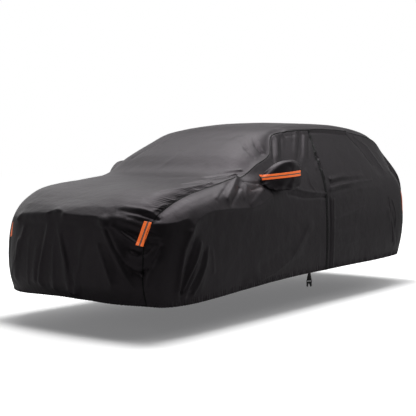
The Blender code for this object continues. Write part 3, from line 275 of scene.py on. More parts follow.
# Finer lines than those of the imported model: crisp edges, drag lines and small gathers.
CREASES = read_folds("""
front edge far; -525 -2255 885, -470 -2255 920, -305 -2275 930, -130 -2290 935; 55 55; 26 24; edge
front edge; 70 -2295 935, 235 -2285 930, 380 -2265 930, 430 -2265 910, 475 -2265 840,
530 -2270 755; 55 40; 28 12; edge
front edge bump; -120 -2290 940, -85 -2280 960, -45 -2270 970, 20 -2280 965,
65 -2290 940; 18 18; 6 6; edge
lip line; -555 -2160 1000, -195 -2220 1005, 155 -2225 1000, 435 -2180 1005,
555 -2125 1030; 70 70; 4 4; edge
nose r1; -490 -2285 715, -515 -2295 565, -650 -2230 390; 14 14; 6 8
nose r2; -440 -2275 815, -485 -2300 590; 14 14; 5 5
nose r3; -125 -2300 855, -135 -2315 750, -165 -2330 605, -215 -2315 400; 11 13; 4 10
nose d3; -175 -2305 795, -195 -2325 635, -250 -2315 415; 14 12; -4 -8
nose r4; -35 -2325 695, -35 -2330 505, -60 -2300 355; 10 11; 3 7
nose d4; -75 -2325 690, -110 -2305 365; 12 12; -4 -6
nose r5; 0 -2305 820, 40 -2320 730, 105 -2330 575, 120 -2295 345; 11 13; 4 12
nose d5; 50 -2310 790, 110 -2325 655, 170 -2320 410; 14 16; -4 -10
nose r6; 265 -2315 710, 240 -2325 540, 170 -2290 335; 10 12; 3 9
nose d6; 305 -2310 710, 240 -2295 350; 16 16; -2 -5
nose r7; 425 -2295 720, 485 -2300 600, 550 -2285 435; 12 12; 5 7
nose r8; 460 -2270 825, 540 -2280 700, 615 -2265 575, 695 -2205 415; 12 14; 6 5
nose d8; 480 -2265 850, 570 -2270 710, 640 -2245 605, 695 -2215 515; 10 12; -10 -6; sharp
nose r9; -350 -2300 740, -355 -2320 495, -380 -2290 360; 14 14; 2 4
swag r1; 550 -2145 1015, 665 -2115 1000, 740 -2065 970, 815 -2035 925; 12 10; 3 6
swag d1; 530 -2180 990, 635 -2160 975, 725 -2110 950, 810 -2045 915; 10 9; -5 -11; sharp
swag r2; 570 -2185 970, 690 -2150 945, 750 -2095 920; 10 9; 5 7
swag d2; 635 -2190 940, 730 -2130 905; 9 9; -6 -7; sharp
swag hollow; 565 -2240 895, 665 -2205 860, 735 -2155 825; 22 26; -8 -16
swag r3; 525 -2255 875, 625 -2230 810, 695 -2195 760, 740 -2165 715; 13 13; 6 13
swag r4; 660 -2210 825, 725 -2170 765; 9 9; 6 6
near d1; 780 -2115 830, 855 -2075 800; 10 10; -10 -5; sharp
near r1; 790 -2120 785, 855 -2080 770; 9 9; 7 4
near d2; 790 -2130 750, 845 -2090 745; 8 8; -8 -4; sharp
arc d1; 680 -2210 705, 740 -2175 680, 795 -2135 705; 10 10; -6 -6
arc r1; 685 -2215 665, 725 -2185 645, 775 -2150 665, 830 -2105 725; 10 10; 8 8
fork far; 660 -2235 585, 705 -2205 545, 755 -2170 525; 10 10; -6 -13; sharp
fork near; 865 -2080 725, 845 -2105 655, 810 -2130 575, 755 -2170 525; 14 11; -12 -13; sharp
fork r1; 820 -2130 605, 795 -2145 495, 775 -2150 395; 12 12; 6 6
corner line; 755 -2170 605, 760 -2170 470, 735 -2140 290; 7 7; -5 -5; sharp
shoulder line a; 800 -2080 875, 865 -2030 885, 905 -1945 895, 925 -1845 920; 50 40; 18 12; edge
shoulder line b; 945 -1820 820, 945 -1790 875, 945 -1730 920, 945 -1645 950, 950 -1540 970,
955 -1320 975, 955 -1040 970, 950 -885 1000, 940 -730 1065; 55 65; 22 34; edge
arch r1; 945 -1820 820, 940 -1895 685, 930 -1930 535, 910 -1945 370; 20 20; 6 10
arch d1; 955 -1775 770, 950 -1840 620, 935 -1890 470, 920 -1910 355; 18 14; -5 -14
arch r2; 960 -1715 730, 955 -1775 585, 945 -1850 460, 920 -1900 340; 13 12; 6 11
arch d2; 960 -1755 585, 950 -1825 475, 930 -1880 370; 10 9; -6 -11; sharp
arch r3; 965 -1625 685, 965 -1660 550, 955 -1730 415, 945 -1790 330; 14 13; 5 8
arch d3; 965 -1675 655, 960 -1720 520, 940 -1825 380; 14 12; -4 -8
arch r4; 965 -1565 645, 965 -1550 485; 16 16; 3 3
root r1; 805 -1020 1210, 880 -1185 1145, 935 -1350 1060; 14 14; 8 6
root d1; 835 -1185 1165, 895 -1350 1105, 930 -1475 1045; 12 12; -8 -5; sharp
root d2; 895 -1110 1140, 940 -1235 1065, 950 -1315 1010; 16 16; -10 -6
root r2; 905 -1010 1150, 945 -1110 1060; 18 18; 6 4
root d3; 850 -1005 1190, 885 -915 1175, 900 -795 1170; 12 12; -10 -10; sharp
root r3; 930 -825 1120, 945 -935 1060, 955 -1050 1000; 20 20; 10 6
root d4; 925 -970 1120, 920 -825 1140; 12 12; -6 -6
hood seam shoulder; 740 -2030 970, 785 -1890 1005, 800 -1640 1080, 800 -1440 1120, 800 -1290 1155,
805 -1060 1200; 55 50; 34 30; edge
hood line a; 645 -1555 1185, 710 -1270 1205, 775 -990 1230; 15 13; 7 12
hood dip a; 630 -1440 1200, 725 -1120 1220, 760 -970 1245; 13 12; -7 -13
hood line b; 580 -1170 1235, 670 -1005 1265, 745 -890 1280; 16 15; 6 11
hood line c; 235 -1480 1205, 440 -1335 1225, 625 -1090 1245; 18 15; 5 9
hood line d; 675 -1870 1130, 735 -1630 1145, 750 -1325 1175; 17 15; 6 7
screen d1; 490 -530 1565, 635 -645 1475, 725 -660 1390; 16 15; -12 -19; sharp
screen d2; 540 -415 1605, 660 -525 1500, 720 -530 1430; 16 15; -12 -19; sharp
screen line; -75 -1020 1300, -10 -925 1365, 55 -805 1450; 16 16; 5 6
screen edge; -540 -845 1400, -465 -680 1500, -360 -510 1590; 22 22; -12 -12
roof edge; 615 25 1650, 615 300 1670, 615 715 1680, 620 1160 1670; 50 50; 18 18; edge
gutter; 645 -35 1615, 645 250 1640, 645 670 1650, 645 1140 1640; 12 12; -14 -14; sharp
quarter dark; 655 1165 1625, 710 1305 1515, 805 1435 1325; 14 18; -8 -6
quarter light; 645 1335 1620, 685 1535 1530, 805 1680 1290; 20 20; 6 6
pillar line; 660 -265 1570, 780 -445 1365; 9 9; -14 -14; sharp
pillar edge; 700 -250 1570, 760 -330 1440, 830 -450 1290; 55 55; 20 16; edge
hood quarter; 560 -1950 1090, 600 -1500 1190, 610 -1150 1240; 120 110; -12 -8
pillar r1; 660 -195 1570, 765 -350 1395; 13 13; 9 7
pillar d1; 655 -105 1590, 780 -295 1375; 12 12; -9 -6
window r1; 655 130 1610, 770 -70 1405; 10 10; 6 5
window d2; 655 215 1620, 780 -20 1395; 12 12; -10 -8
window r2; 665 290 1610, 785 80 1395, 840 -65 1285; 13 14; 8 7
window d3; 685 335 1580, 800 155 1375; 12 12; -6 -4
pucker a; 725 360 1515, 765 340 1450; 13 13; 12 12
pucker b; 805 330 1375, 840 230 1300; 12 12; 11 11
pucker c; 855 305 1280, 890 300 1205; 12 12; 11 9
pucker d; 680 370 1590, 715 365 1530; 10 10; -9 -9
pucker e; 775 320 1425, 795 340 1395; 10 10; -10 -10
pucker f; 825 325 1340, 850 325 1290; 10 10; -10 -10
belt r1; 855 35 1265, 905 10 1155, 920 70 1085; 16 14; 6 6
belt r2; 910 -295 1125, 920 -155 1090, 925 25 1070, 930 240 1055; 14 14; 5 10
belt d2; 925 -400 1070, 935 -140 1030, 935 230 1025; 16 13; -5 -10
zip r1; 900 390 1185, 895 555 1205, 890 800 1205, 880 1055 1220; 12 12; 6 2
zip d1; 910 370 1150, 910 530 1165, 905 815 1175, 890 1150 1190; 11 12; -6 -2
zip r2; 920 355 1110, 920 490 1125, 915 720 1145, 895 1270 1165; 12 13; 8 2
zip d2; 930 335 1065, 930 535 1090, 925 740 1100; 11 12; -6 -3
belt edge rear; 935 345 1030, 935 625 1065, 925 995 1090, 910 1425 1095; 45 50; 10 6; edge
zip trough; 940 315 995, 955 305 850, 960 300 610, 950 305 360; 20 20; -10 -10
zip ridge; 940 385 990, 955 370 850, 960 360 610, 950 365 355; 14 14; 5 5
rear w1; 960 385 805, 955 685 845, 950 990 900; 12 14; 4 2
rear w2; 960 385 675, 960 580 680, 960 805 705; 12 14; 4 2
rear w3; 960 390 550, 960 690 555, 960 1070 600; 14 14; 3 2
door line; 955 -915 345, 955 -655 400, 960 -400 500, 960 -235 630, 960 -100 770; 45 50; 14 8; edge
door hem; 950 -850 325, 950 -405 345, 950 -125 350; 14 14; 8 8
tail r1; 925 1680 945, 935 1755 795, 935 1740 600; 14 14; 8 8
tail d1; 925 1590 970, 945 1620 715, 935 1680 505; 12 12; -8 -8
""")


def unit(vectors: Array) -> Array:
    """Vectors scaled to length one."""
    return vectors / np.maximum(np.linalg.norm(vectors, axis=-1, keepdims=True), 1e-12)


def smooth_step(values: Array) -> Array:
    """The usual eased step of values clipped to 0 to 1."""
    share = np.clip(values, 0.0, 1.0)
    return share * share * (3 - 2 * share)


def spline(knots: Array, where: Array) -> Array:
    """Points of a Catmull-Rom curve.

    Args:
        knots: The curve's points for every place, as (n, m, 3).
        where: How many knots along each of the m places is.

    Returns:
        The m points.
    """
    last = len(knots) - 1
    where = np.clip(where, 0.0, last)
    low = np.clip(np.floor(where).astype(int), 0, last - 1)
    part = (where - low)[:, None]
    ends = np.concatenate([2 * knots[:1] - knots[1:2], knots, 2 * knots[-1:] - knots[-2:-1]])
    here = np.arange(ends.shape[1])
    a, b, c, d = (ends[low + k, here] for k in range(4))
    return 0.5 * (2 * b + (c - a) * part + (2 * a - 5 * b + 4 * c - d) * part ** 2
                  + (3 * b - a - 3 * c + d) * part ** 3)


def curve(points: Sequence[Sequence[float]], where: Array) -> Array:
    """The same curve for one list of points that every place shares.

    Args:
        points: The curve's points.
        where: How many points along each place is.

    Returns:
        The places' points.
    """
    knots = np.repeat(np.asarray(points, float)[:, None], len(where), axis=1)
    return spline(knots, where)


@dataclass
class CoverForm:
    """The smooth shape of the cover, before any fold, on the zip side of its middle."""

    last_section: int = len(SECTIONS) - 1
    last_post: int = len(POSTS) + 1
    tops: tuple[float, ...] = (NOSE_TURN, *(post.top for post in POSTS), TAIL_TURN)
    station_count: int = 421

    def __post_init__(self) -> None:
        """Work out the seam's outward directions once, at close places."""
        self.stations = np.linspace(0, self.last_section, self.station_count)
        self.seam_facing = self._seam_facing()

    def seam(self, where: Array) -> Array:
        """The shoulder seam, by section count."""
        return curve([row.seam for row in SECTIONS], where)

    def centre(self, where: Array, across: Array) -> Array:
        """The centre panel.

        Args:
            where: Section counts.
            across: From -1 at the plain side's seam to 1 at the zip side's.

        Returns:
            The points.
        """
        middle = curve([row.middle for row in SECTIONS], where)
        quarter = curve([row.quarter for row in SECTIONS], where)
        seam = self.seam(where)
        turn = Flank.PLAIN.turn
        return spline(np.stack([seam * turn, quarter * turn, middle, quarter, seam]),
                      (across + 1) * 2)

    def tail_section(self, fall: Array) -> Array:
        """Section count of the tail corner seam at a fall from 0 to 1."""
        return TAIL_TURN + (self.last_section - TAIL_TURN) * fall

    def side(self, along: Array, fall: Array) -> Array:
        """The side panel, which meets the corner seams exactly at both ends.

        Args:
            along: Post counts.
            fall: From 0 at the seam to 1 at the hem.

        Returns:
            The points.
        """
        steps = np.linspace(0, 1, SIDE_KNOTS + 1)
        nose = self.seam(NOSE_TURN * (1 - steps))
        tail = self.seam(self.tail_section(steps))
        rows = [self.seam(self.top_section(along))]
        for step in range(1, SIDE_KNOTS + 1):
            points = [nose[step]] + [post[step + 1] for post in POSTS] + [tail[step]]
            rows.append(curve(points, along))
        placed = spline(np.stack(rows), fall * SIDE_KNOTS)
        for near, true, rough in (
                (1 - along, self.seam(NOSE_TURN * (1 - fall)), nose),
                (along - self.last_post + 1, self.seam(self.tail_section(fall)), tail)):
            placed += np.clip(near, 0, 1)[:, None] ** 2 * (true - curve(rough, fall * SIDE_KNOTS))
        return placed

    def top_section(self, along: Array) -> Array:
        """Section count of the seam above each post count."""
        return np.interp(along, range(len(self.tops)), self.tops)

    def side_places(self, where: Array) -> tuple[Array, Array]:
        """The side panel's edge at each section count of the seam.

        Args:
            where: Section counts.

        Returns:
            Post counts, and falls from 0 to 1.
        """
        along = np.interp(where, self.tops, range(len(self.tops)))
        fall = np.where(where < NOSE_TURN, 1 - where / NOSE_TURN, 0.0)
        rear = (where - TAIL_TURN) / (self.last_section - TAIL_TURN)
        return along, np.where(where > TAIL_TURN, rear, fall)

    def _seam_facing(self) -> Array:
        """Outward directions along the seam, half way between the two panels that meet.

        Returns:
            A direction for each of the stations.
        """
        along, fall = self.side_places(self.stations)
        centre = facing_of(self.centre, self.stations, np.ones_like(self.stations))
        side = facing_of(self.side, along, fall)
        outward = self.seam(self.stations) * SIDE_SLANT - INSIDE
        for facing in (centre, side):
            facing *= np.sign((facing * outward).sum(-1, keepdims=True))
        return unit(centre + side)

    def shared_facing(self, where: Array) -> Array:
        """The seam's outward direction at any section count."""
        return unit(at_places(where, self.stations, self.seam_facing))


def at_places(where: Array, known: Array, vectors: Array) -> Array:
    """Vectors between the known ones, each of their three parts by itself."""
    return np.stack([np.interp(where, known, vectors[:, axis]) for axis in range(3)], axis=-1)


def facing_of(surface: Callable[[Array, Array], Array], u: Array, v: Array) -> Array:
    """Normals of a surface by small differences, not yet turned outwards.

    Args:
        surface: Gives the surface's points.
        u: Places along its first direction.
        v: Places along its second, from at least -1 to 1.

    Returns:
        Unit vectors.
    """
    step_u, step_v = 0.02, 0.004
    high_u = surface(u + step_u, v)
    low_u = surface(np.maximum(u - step_u, 0), v)
    high_v = surface(u, np.minimum(v + step_v, 1))
    low_v = surface(u, v - step_v * (v > step_v))
    return unit(np.cross(high_u - low_u, high_v - low_v))


def nearest_on(line: Array, points: Array) -> tuple[Array, Array]:
    """How far each point is from a line of points, and how far along it that is.

    Args:
        line: The line's points, as (k, 3).
        points: The places to measure, as (n, 3).

    Returns:
        The distances, and the shares from 0 to 1 of the line's length.
    """
    runs = np.diff(line, axis=0)
    lengths = np.linalg.norm(runs, axis=1)
    nearest = np.full(len(points), np.inf)
    share = np.zeros(len(points))
    for start, run, length, before in zip(line, runs, lengths, np.cumsum(lengths) - lengths):
        part = np.clip((points - start) @ run / length ** 2, 0, 1)
        off = np.linalg.norm(points - start - part[:, None] * run, axis=1)
        share = np.where(off < nearest, (before + part * length) / lengths.sum(), share)
        nearest = np.minimum(off, nearest)
    return nearest, share


def fold_height(points: Array) -> Array:
    """How far the folds lift the cloth off the plain shape.

    Args:
        points: Places on the plain shape, as (n, 3).

    Returns:
        Their heights, from both tables of folds.
    """
    height = np.zeros(len(points))
    for fold, part in [(row, BROAD_PART) for row in FOLDS] + [(row, 1.0) for row in CREASES]:
        line = np.array(fold.line)
        middle = (line.min(0) + line.max(0)) / 2
        reach = np.linalg.norm(line.max(0) - line.min(0)) / 2 + 4 * max(fold.widths)
        near = np.flatnonzero(((points - middle) ** 2).sum(1) < reach ** 2)
        if not len(near):
            continue
        off, share = nearest_on(line, points[near])
        width = fold.widths[0] + (fold.widths[1] - fold.widths[0]) * share
        rise = fold.heights[0] + (fold.heights[1] - fold.heights[0]) * share
        height[near] += part * rise * np.exp(-(off / width) ** fold.crest.value)
    return height


@dataclass(frozen=True)
class Crumple:
    """Faint unevenness of cloth: many slow waves over the surface, in no set direction."""

    longest: float = 0.42
    shortest: float = 0.09
    height: float = 0.0006
    waves: int = 26
    seed: int = 11
    bend: float = 0.6
    bend_rate: float = 4.0
    short_fade: float = 0.7
    gain: float = 2.0

    def height_at(self, points: Array) -> Array:
        """The waves' sum.

        Args:
            points: Places on the plain shape, as (n, 3).

        Returns:
            Their heights.
        """
        rng = np.random.default_rng(self.seed)
        total = np.zeros(len(points))
        for _ in range(self.waves):
            way = rng.normal(size=3)
            way /= np.linalg.norm(way)
            length = self.shortest * (self.longest / self.shortest) ** rng.random()
            bend = self.bend * np.sin(points @ rng.normal(size=3) * self.bend_rate
                                      + rng.random() * ANY_PHASE)
            share = (length / self.longest) ** self.short_fade
            phase = points @ way * 2 * math.pi / length + bend + rng.random() * ANY_PHASE
            total += share * np.sin(phase)
        return total * self.height / math.sqrt(self.waves) * self.gain


def uneven_wave(run: Array, period: float, seed: int) -> Array:
    """A wave whose spacing and size wander.

    Args:
        run: Metres along the line that the wave follows.
        period: Mean metres from crest to crest.
        seed: Seed of the wandering.

    Returns:
        Heights from -1 to 1.
    """
    rng = np.random.default_rng(seed)
    drift = sum(np.sin(run * 2 * math.pi / (period * scale) + rng.random() * ANY_PHASE) * size
                for scale, size in WAVE_DRIFTS)
    slow = np.sin(run * 2 * math.pi / (period * WAVE_SWELL[0]) + rng.random() * ANY_PHASE)
    return np.sin(run * 2 * math.pi / period + drift) * (WAVE_SWELL[1] + WAVE_SWELL[2] * slow)


# ------------------------------------------------------------------ shader nodes

class Socket:
    """An output of a shader node that takes part in Python arithmetic."""

    def __init__(self, shader: "Shader", socket: Any) -> None:
        """Wrap a socket of a shader's tree."""
        self.shader = shader
        self.socket = socket

    def _math(self, operation: str, *values: Any) -> "Socket":
        """A Math node over one or two values."""
        return self.shader.node("ShaderNodeMath", {"operation": operation}, dict(enumerate(values)))

    def __add__(self, other: Any) -> "Socket":
        """Sum."""
        return self._math("ADD", self, other)

    def __radd__(self, other: Any) -> "Socket":
        """Reflected sum."""
        return self._math("ADD", other, self)

    def __sub__(self, other: Any) -> "Socket":
        """Difference."""
        return self._math("SUBTRACT", self, other)

    def __rsub__(self, other: Any) -> "Socket":
        """Reflected difference."""
        return self._math("SUBTRACT", other, self)

    def __mul__(self, other: Any) -> "Socket":
        """Product."""
        return self._math("MULTIPLY", self, other)

    def __rmul__(self, other: Any) -> "Socket":
        """Reflected product."""
        return self._math("MULTIPLY", other, self)

    def __abs__(self) -> "Socket":
        """Size without sign."""
        return self._math("ABSOLUTE", self)

    def wave(self, period: float) -> "Socket":
        """A sine wave of the value, with this period."""
        return self._math("SINE", self * (2 * math.pi / period))

    def root(self) -> "Socket":
        """Square root."""
        return self._math("SQRT", self)

    def at_least(self, limit: float) -> "Socket":
        """The value, or a limit where that is more."""
        return self._math("MAXIMUM", self, limit)

    def below(self, limit: float) -> "Socket":
        """1 where the value is less than a limit, else 0."""
        return self._math("LESS_THAN", self, limit)


class Shader:
    """The nodes of one material or world, and the one method that adds to them."""

    def __init__(self, owner: Any) -> None:
        """Take over the nodes of a new material or world.

        Args:
            owner: The material or world.
        """
        owner.use_nodes = True
        self.owner = owner
        self.tree = owner.node_tree

    def node(self, kind: str, settings: dict[str, Any], inputs: dict[Any, Any],
             output: Any = 0) -> Socket:
        """Add a node.

        Args:
            kind: The node's Blender type.
            settings: Its own settings, such as a Math node's operation.
            inputs: Values or sockets, by the name or number of the node's input.
            output: Name or number of the output that is wanted.

        Returns:
            That output.
        """
        made = self.tree.nodes.new(kind)
        for key, value in settings.items():
            setattr(made, key, value)
        for key, value in inputs.items():
            self.join(value, made.inputs[key])
        return Socket(self, made.outputs[output])

    def join(self, value: Any, socket: Any) -> None:
        """Fill an input.

        Args:
            value: A socket to link, or a plain value, colour or vector to set.
            socket: The input.
        """
        if isinstance(value, Socket):
            self.tree.links.new(value.socket, socket)
        elif isinstance(value, (tuple, list)) and len(value) == 3 and socket.type == "RGBA":
            socket.default_value = (*value, 1.0)
        else:
            socket.default_value = value

    def place(self) -> Socket:
        """Object coordinates."""
        return self.node("ShaderNodeTexCoord", {}, {}, "Object")

    def flat(self) -> Socket:
        """The piece's own UV map."""
        return self.node("ShaderNodeUVMap", {}, {}, "UV")

    def parts(self, vector: Socket) -> tuple[Socket, Socket]:
        """The first two parts of a vector."""
        split = self.node("ShaderNodeSeparateXYZ", {}, {"Vector": vector}).socket.node
        return Socket(self, split.outputs[0]), Socket(self, split.outputs[1])

    def blend(self, share: Any, first: Any, second: Any) -> Socket:
        """A colour between two, by share."""
        return self.node("ShaderNodeMix", {"data_type": "RGBA"}, {0: share, 6: first, 7: second}, 2)

    def eased(self, value: Socket, edge: tuple[float, float]) -> Socket:
        """A smooth step from 0 at the edge's start to 1 at its end."""
        return self.node("ShaderNodeMapRange", {"interpolation_type": "SMOOTHSTEP"},
                         {0: value, 1: edge[0], 2: edge[1]})

    def noise(self, place: Socket, scale: float, detail: float) -> Socket:
        """Smooth noise from 0 to 1."""
        return self.node("ShaderNodeTexNoise", {},
                         {"Vector": place, "Scale": scale, "Detail": detail})

    def bump(self, height: Socket, relief: "Relief", normal: Socket | None = None) -> Socket:
        """A normal tilted by a height.

        Args:
            height: The height.
            relief: How deep and strong the bump is.
            normal: The normal that it tilts, where that isn't the mesh's own.

        Returns:
            The normal.
        """
        inputs: dict[Any, Any] = {"Height": height, "Distance": relief.depth,
                                  "Strength": relief.strength}
        if normal is not None:
            inputs["Normal"] = normal
        return self.node("ShaderNodeBump", {}, inputs)

    def finish(self, **values: Any) -> Any:
        """Set inputs of the surface.

        Args:
            values: Values or sockets, by the input's name with _ for a space.

        Returns:
            The material.
        """
        for key, value in values.items():
            self.join(value, self.tree.nodes["Principled BSDF"].inputs[key.replace("_", " ")])
        return self.owner


class Relief(NamedTuple):
    """Depth in metres and strength of a bump."""

    depth: float
    strength: float


@dataclass(frozen=True)
class ClothFinish:
    """Plain woven polyester with a soft sheen, slightly dusty and uneven."""

    name: str = "woven polyester"
    dark: tuple[float, float, float] = (0.0060, 0.0058, 0.0064)
    light: tuple[float, float, float] = (0.0105, 0.0097, 0.0108)
    glint: tuple[float, float, float] = (1.0, 0.87, 0.97)
    roughness: float = 0.50
    patch_rough: float = 0.10
    fine_rough: float = 0.06
    thread: float = 0.0011
    weave: Relief = Relief(0.0002, 0.03)
    wrinkles: Relief = Relief(0.010, 0.45)
    wrinkle_scale: float = 13.0
    patch_scale: float = 2.2
    fine_scale: float = 46.0
    patch_share: float = 0.65

    def material(self) -> Any:
        """Weave and wrinkles in the normal, soft patches in the colour.

        Returns:
            The material.
        """
        shader = Shader(bpy.data.materials.new(self.name))
        warp, weft = (part.wave(self.thread) for part in shader.parts(shader.flat()))
        place = shader.place()
        patches = shader.noise(place, self.patch_scale, 3.0)
        fine = shader.noise(place, self.fine_scale, 3.0)
        share = patches * self.patch_share + fine * (1 - self.patch_share)
        rough = (self.roughness + (patches - 0.5) * self.patch_rough
                 + (fine - 0.5) * self.fine_rough)
        normal = shader.bump(shader.noise(place, self.wrinkle_scale, 4.0), self.wrinkles)
        return shader.finish(Base_Color=shader.blend(share, self.dark, self.light),
                             Roughness=rough, Specular_Tint=self.glint,
                             Normal=shader.bump(warp * weft, self.weave, normal))


@dataclass(frozen=True)
class TapeFinish:
    """Woven tape: a ribbed narrow band, as on the zip, the seams and the strap."""

    name: str = "woven tape"
    # darker and duller than the cloth: the tape's own colour, and on the zip also painted shade of
    # the trough along it
    colour: tuple[float, float, float] = (0.0075, 0.0073, 0.0080)
    roughness: float = 0.62
    rib: float = 0.0016
    glint: float = 0.35
    worn_gain: float = 1.7
    worn_rough: float = 0.1
    rib_share: float = 0.7
    relief: Relief = Relief(0.0004, 0.5)
    fine_scale: float = 60.0

    def material(self) -> Any:
        """Ribs across the band in the normal.

        Returns:
            The material.
        """
        shader = Shader(bpy.data.materials.new(self.name))
        cross, ribs = (part.wave(self.rib) for part in shader.parts(shader.flat()))
        fine = shader.noise(shader.place(), self.fine_scale, 3.0)
        worn = tuple(self.worn_gain * part for part in self.colour)
        weave = ribs * self.rib_share + cross * (1 - self.rib_share)
        return shader.finish(Base_Color=shader.blend(fine, self.colour, worn),
                             Roughness=self.roughness + (fine - 0.5) * self.worn_rough,
                             Normal=shader.bump(weave, self.relief), Specular_IOR_Level=self.glint)


@dataclass(frozen=True)
class StripFinish:
    """Orange tape with a dull grey line of fine beads along its middle and sewn edges, which glows
    with its own colours: painted light that stands in for the light it throws back.
    """

    name: str = "reflective strip"
    orange: tuple[float, float, float] = (0.95, 0.200, 0.045)
    deep: tuple[float, float, float] = (0.86, 0.140, 0.030)
    line: tuple[float, float, float] = (0.115, 0.075, 0.060)
    line_half: float = 0.115
    # strength of the strip's painted glow; the strip is no lamp
    glow: float = 0.55
    roughness: float = 0.42
    uneven_rough: float = 0.12
    slow_scale: float = 14.0
    fine_scale: float = 150.0
    slow_share: float = 0.8
    sewn_at: float = 0.43
    sewn_half: float = 0.02
    stitch: float = 0.008
    stitch_height: float = 0.8
    bead_scale: float = 900.0
    relief: Relief = Relief(0.0006, 0.35)

    def material(self) -> Any:
        """Bands across by u, from 0 to 1, and threads along both edges.

        Returns:
            The material.
        """
        shader = Shader(bpy.data.materials.new(self.name))
        across, along = shader.parts(shader.flat())
        off = abs(across - 0.5)
        place = shader.place()
        fine = shader.noise(place, self.fine_scale, 2.0)
        slow = shader.noise(place, self.slow_scale, 2.0)
        share = slow * self.slow_share + fine * (1 - self.slow_share)
        line = off.below(self.line_half)
        colour = shader.blend(line, shader.blend(share, self.deep, self.orange), self.line)
        thread = abs(off - self.sewn_at).below(self.sewn_half) * along.wave(self.stitch)
        beads = shader.node("ShaderNodeTexVoronoi", {}, {"Vector": place, "Scale": self.bead_scale})
        normal = shader.bump(beads * line + thread * self.stitch_height, self.relief)
        # the strip's colours also glow at that strength: painted light, not a lamp
        return shader.finish(Base_Color=colour, Normal=normal,
                             Roughness=self.roughness + (slow - 0.5) * self.uneven_rough,
                             Emission_Color=colour, Emission_Strength=self.glow)


@dataclass(frozen=True)
class MouldedFinish:
    """Moulded plastic with a fine grain, as on the buckle and the zip's teeth."""

    name: str = "moulded plastic"
    colour: tuple[float, float, float] = (0.010, 0.010, 0.011)
    roughness: float = 0.42
    worn_gain: float = 1.8
    worn_rough: float = 0.2
    worn_scale: float = 90.0
    grain_scale: float = 900.0
    relief: Relief = Relief(0.0002, 0.25)

    def material(self) -> Any:
        """Grain in the normal, and worn, duller patches.

        Returns:
            The material.
        """
        shader = Shader(bpy.data.materials.new(self.name))
        place = shader.place()
        grain = shader.noise(place, self.grain_scale, 3.0)
        worn = shader.noise(place, self.worn_scale, 2.0)
        pale = tuple(self.worn_gain * part for part in self.colour)
        return shader.finish(Base_Color=shader.blend(worn, self.colour, pale),
                             Roughness=self.roughness + (worn - 0.5) * self.worn_rough,
                             Normal=shader.bump(grain, self.relief))


@dataclass(frozen=True)
class FloorFinish:
    """The pale studio floor, a little lit from within, with that glow dimmed into a painted shadow
    under the cover.
    """

    name: str = "studio floor"
    colour: tuple[float, float, float] = (0.86, 0.86, 0.86)
    dim: tuple[float, float, float] = (0.42, 0.42, 0.42)
    roughness: float = 0.9
    gloss: float = 0.1
    # the cover's footprint, where the glow gives way to a painted shadow
    middle: tuple[float, float] = (0.0, -0.68)
    half: tuple[float, float] = (0.80, 2.20)
    painted_shadow_edge: tuple[float, float] = (0.0, 0.36)
    glow: tuple[float, float, float] = (0.70, 0.70, 0.70)
    far_glow: tuple[float, float, float] = (1.0, 1.0, 1.0)
    far_edge: tuple[float, float] = (2.5, 7.0)
    # emission colour of the painted shadow under the cover
    shade: tuple[float, float, float] = (0.16, 0.16, 0.163)

    def material(self) -> Any:
        """A dull white that throws little light back on the cover.

        Returns:
            The material.
        """
        shader = Shader(bpy.data.materials.new(self.name))
        off = [(abs(part - self.middle[axis]) - self.half[axis]).at_least(0.0)
               for axis, part in enumerate(shader.parts(shader.place()))]
        away = (off[0] * off[0] + off[1] * off[1]).root()
        # painted shadow: the glow falls to the shade colour near the cover's footprint
        near = shader.blend(shader.eased(away, self.painted_shadow_edge), self.shade, self.glow)
        seen = shader.blend(shader.eased(away, self.far_edge), near, self.far_glow)
        shader.finish(Base_Color=self.colour, Roughness=self.roughness,
                      Specular_IOR_Level=self.gloss, Emission_Color=seen, Emission_Strength=1.0)
        dull = shader.node("ShaderNodeBsdfDiffuse", {}, {"Color": self.dim})
        lit = Socket(shader, shader.tree.nodes["Principled BSDF"].outputs[0])
        split_rays(shader, dull, lit, "Material Output")
        return shader.owner


def split_rays(shader: Shader, others: Socket, camera: Socket, output: str) -> None:
    """Give the camera's rays one shader and all others another.

    Args:
        shader: The nodes of the material or world.
        others: What all other rays meet.
        camera: What the camera's rays meet.
        output: Name of the output node.
    """
    ray = shader.node("ShaderNodeLightPath", {}, {}, "Is Camera Ray")
    both = shader.node("ShaderNodeMixShader", {}, {0: ray, 1: others, 2: camera})
    shader.join(both, shader.tree.nodes[output].inputs[0])


# ------------------------------------------------------------------ mesh helpers

def spaced(line: Callable[[Array], Array], spacing: Sequence[tuple[float, float]]) -> Array:
    """Places along a line that are the wanted number of metres apart.

    Args:
        line: Gives the points of the line.
        spacing: Places from the line's start to its end, each with the metres wanted there.

    Returns:
        The places, from the first to the last.
    """
    fine = np.linspace(spacing[0][0], spacing[-1][0], FINE_PLACES)
    lengths = np.linalg.norm(np.diff(line(fine), axis=0), axis=1)
    wanted = np.interp((fine[1:] + fine[:-1]) / 2, *zip(*spacing))
    count = np.concatenate([[0], np.cumsum(lengths / wanted)])
    whole = max(2, int(round(count[-1])))
    return np.interp(np.linspace(0, count[-1], whole + 1), count, fine)


def run_of(points: Array) -> Array:
    """Metres along a line of points at each of them."""
    return np.concatenate([[0], np.cumsum(np.linalg.norm(np.diff(points, axis=0), axis=1))])


def paired(first: Array, second: Array) -> Array:
    """UV coordinates from their first and second parts, spread to one shape."""
    return np.stack(np.broadcast_arrays(first, second), axis=-1)


def mesh_from(made: Any, name: str) -> Any:
    """Mesh data from a bmesh.

    Args:
        made: The bmesh, which is freed.
        name: The mesh's name.

    Returns:
        The mesh data.
    """
    mesh = bpy.data.meshes.new(name)
    made.to_mesh(mesh)
    made.free()
    return mesh


def change_mesh(mesh: Any, change: Callable[[Any], None]) -> None:
    """Change mesh data by way of a bmesh.

    Args:
        mesh: The mesh data.
        change: What is done to the bmesh.
    """
    made = bmesh.new()
    made.from_mesh(mesh)
    change(made)
    made.to_mesh(mesh)
    made.free()


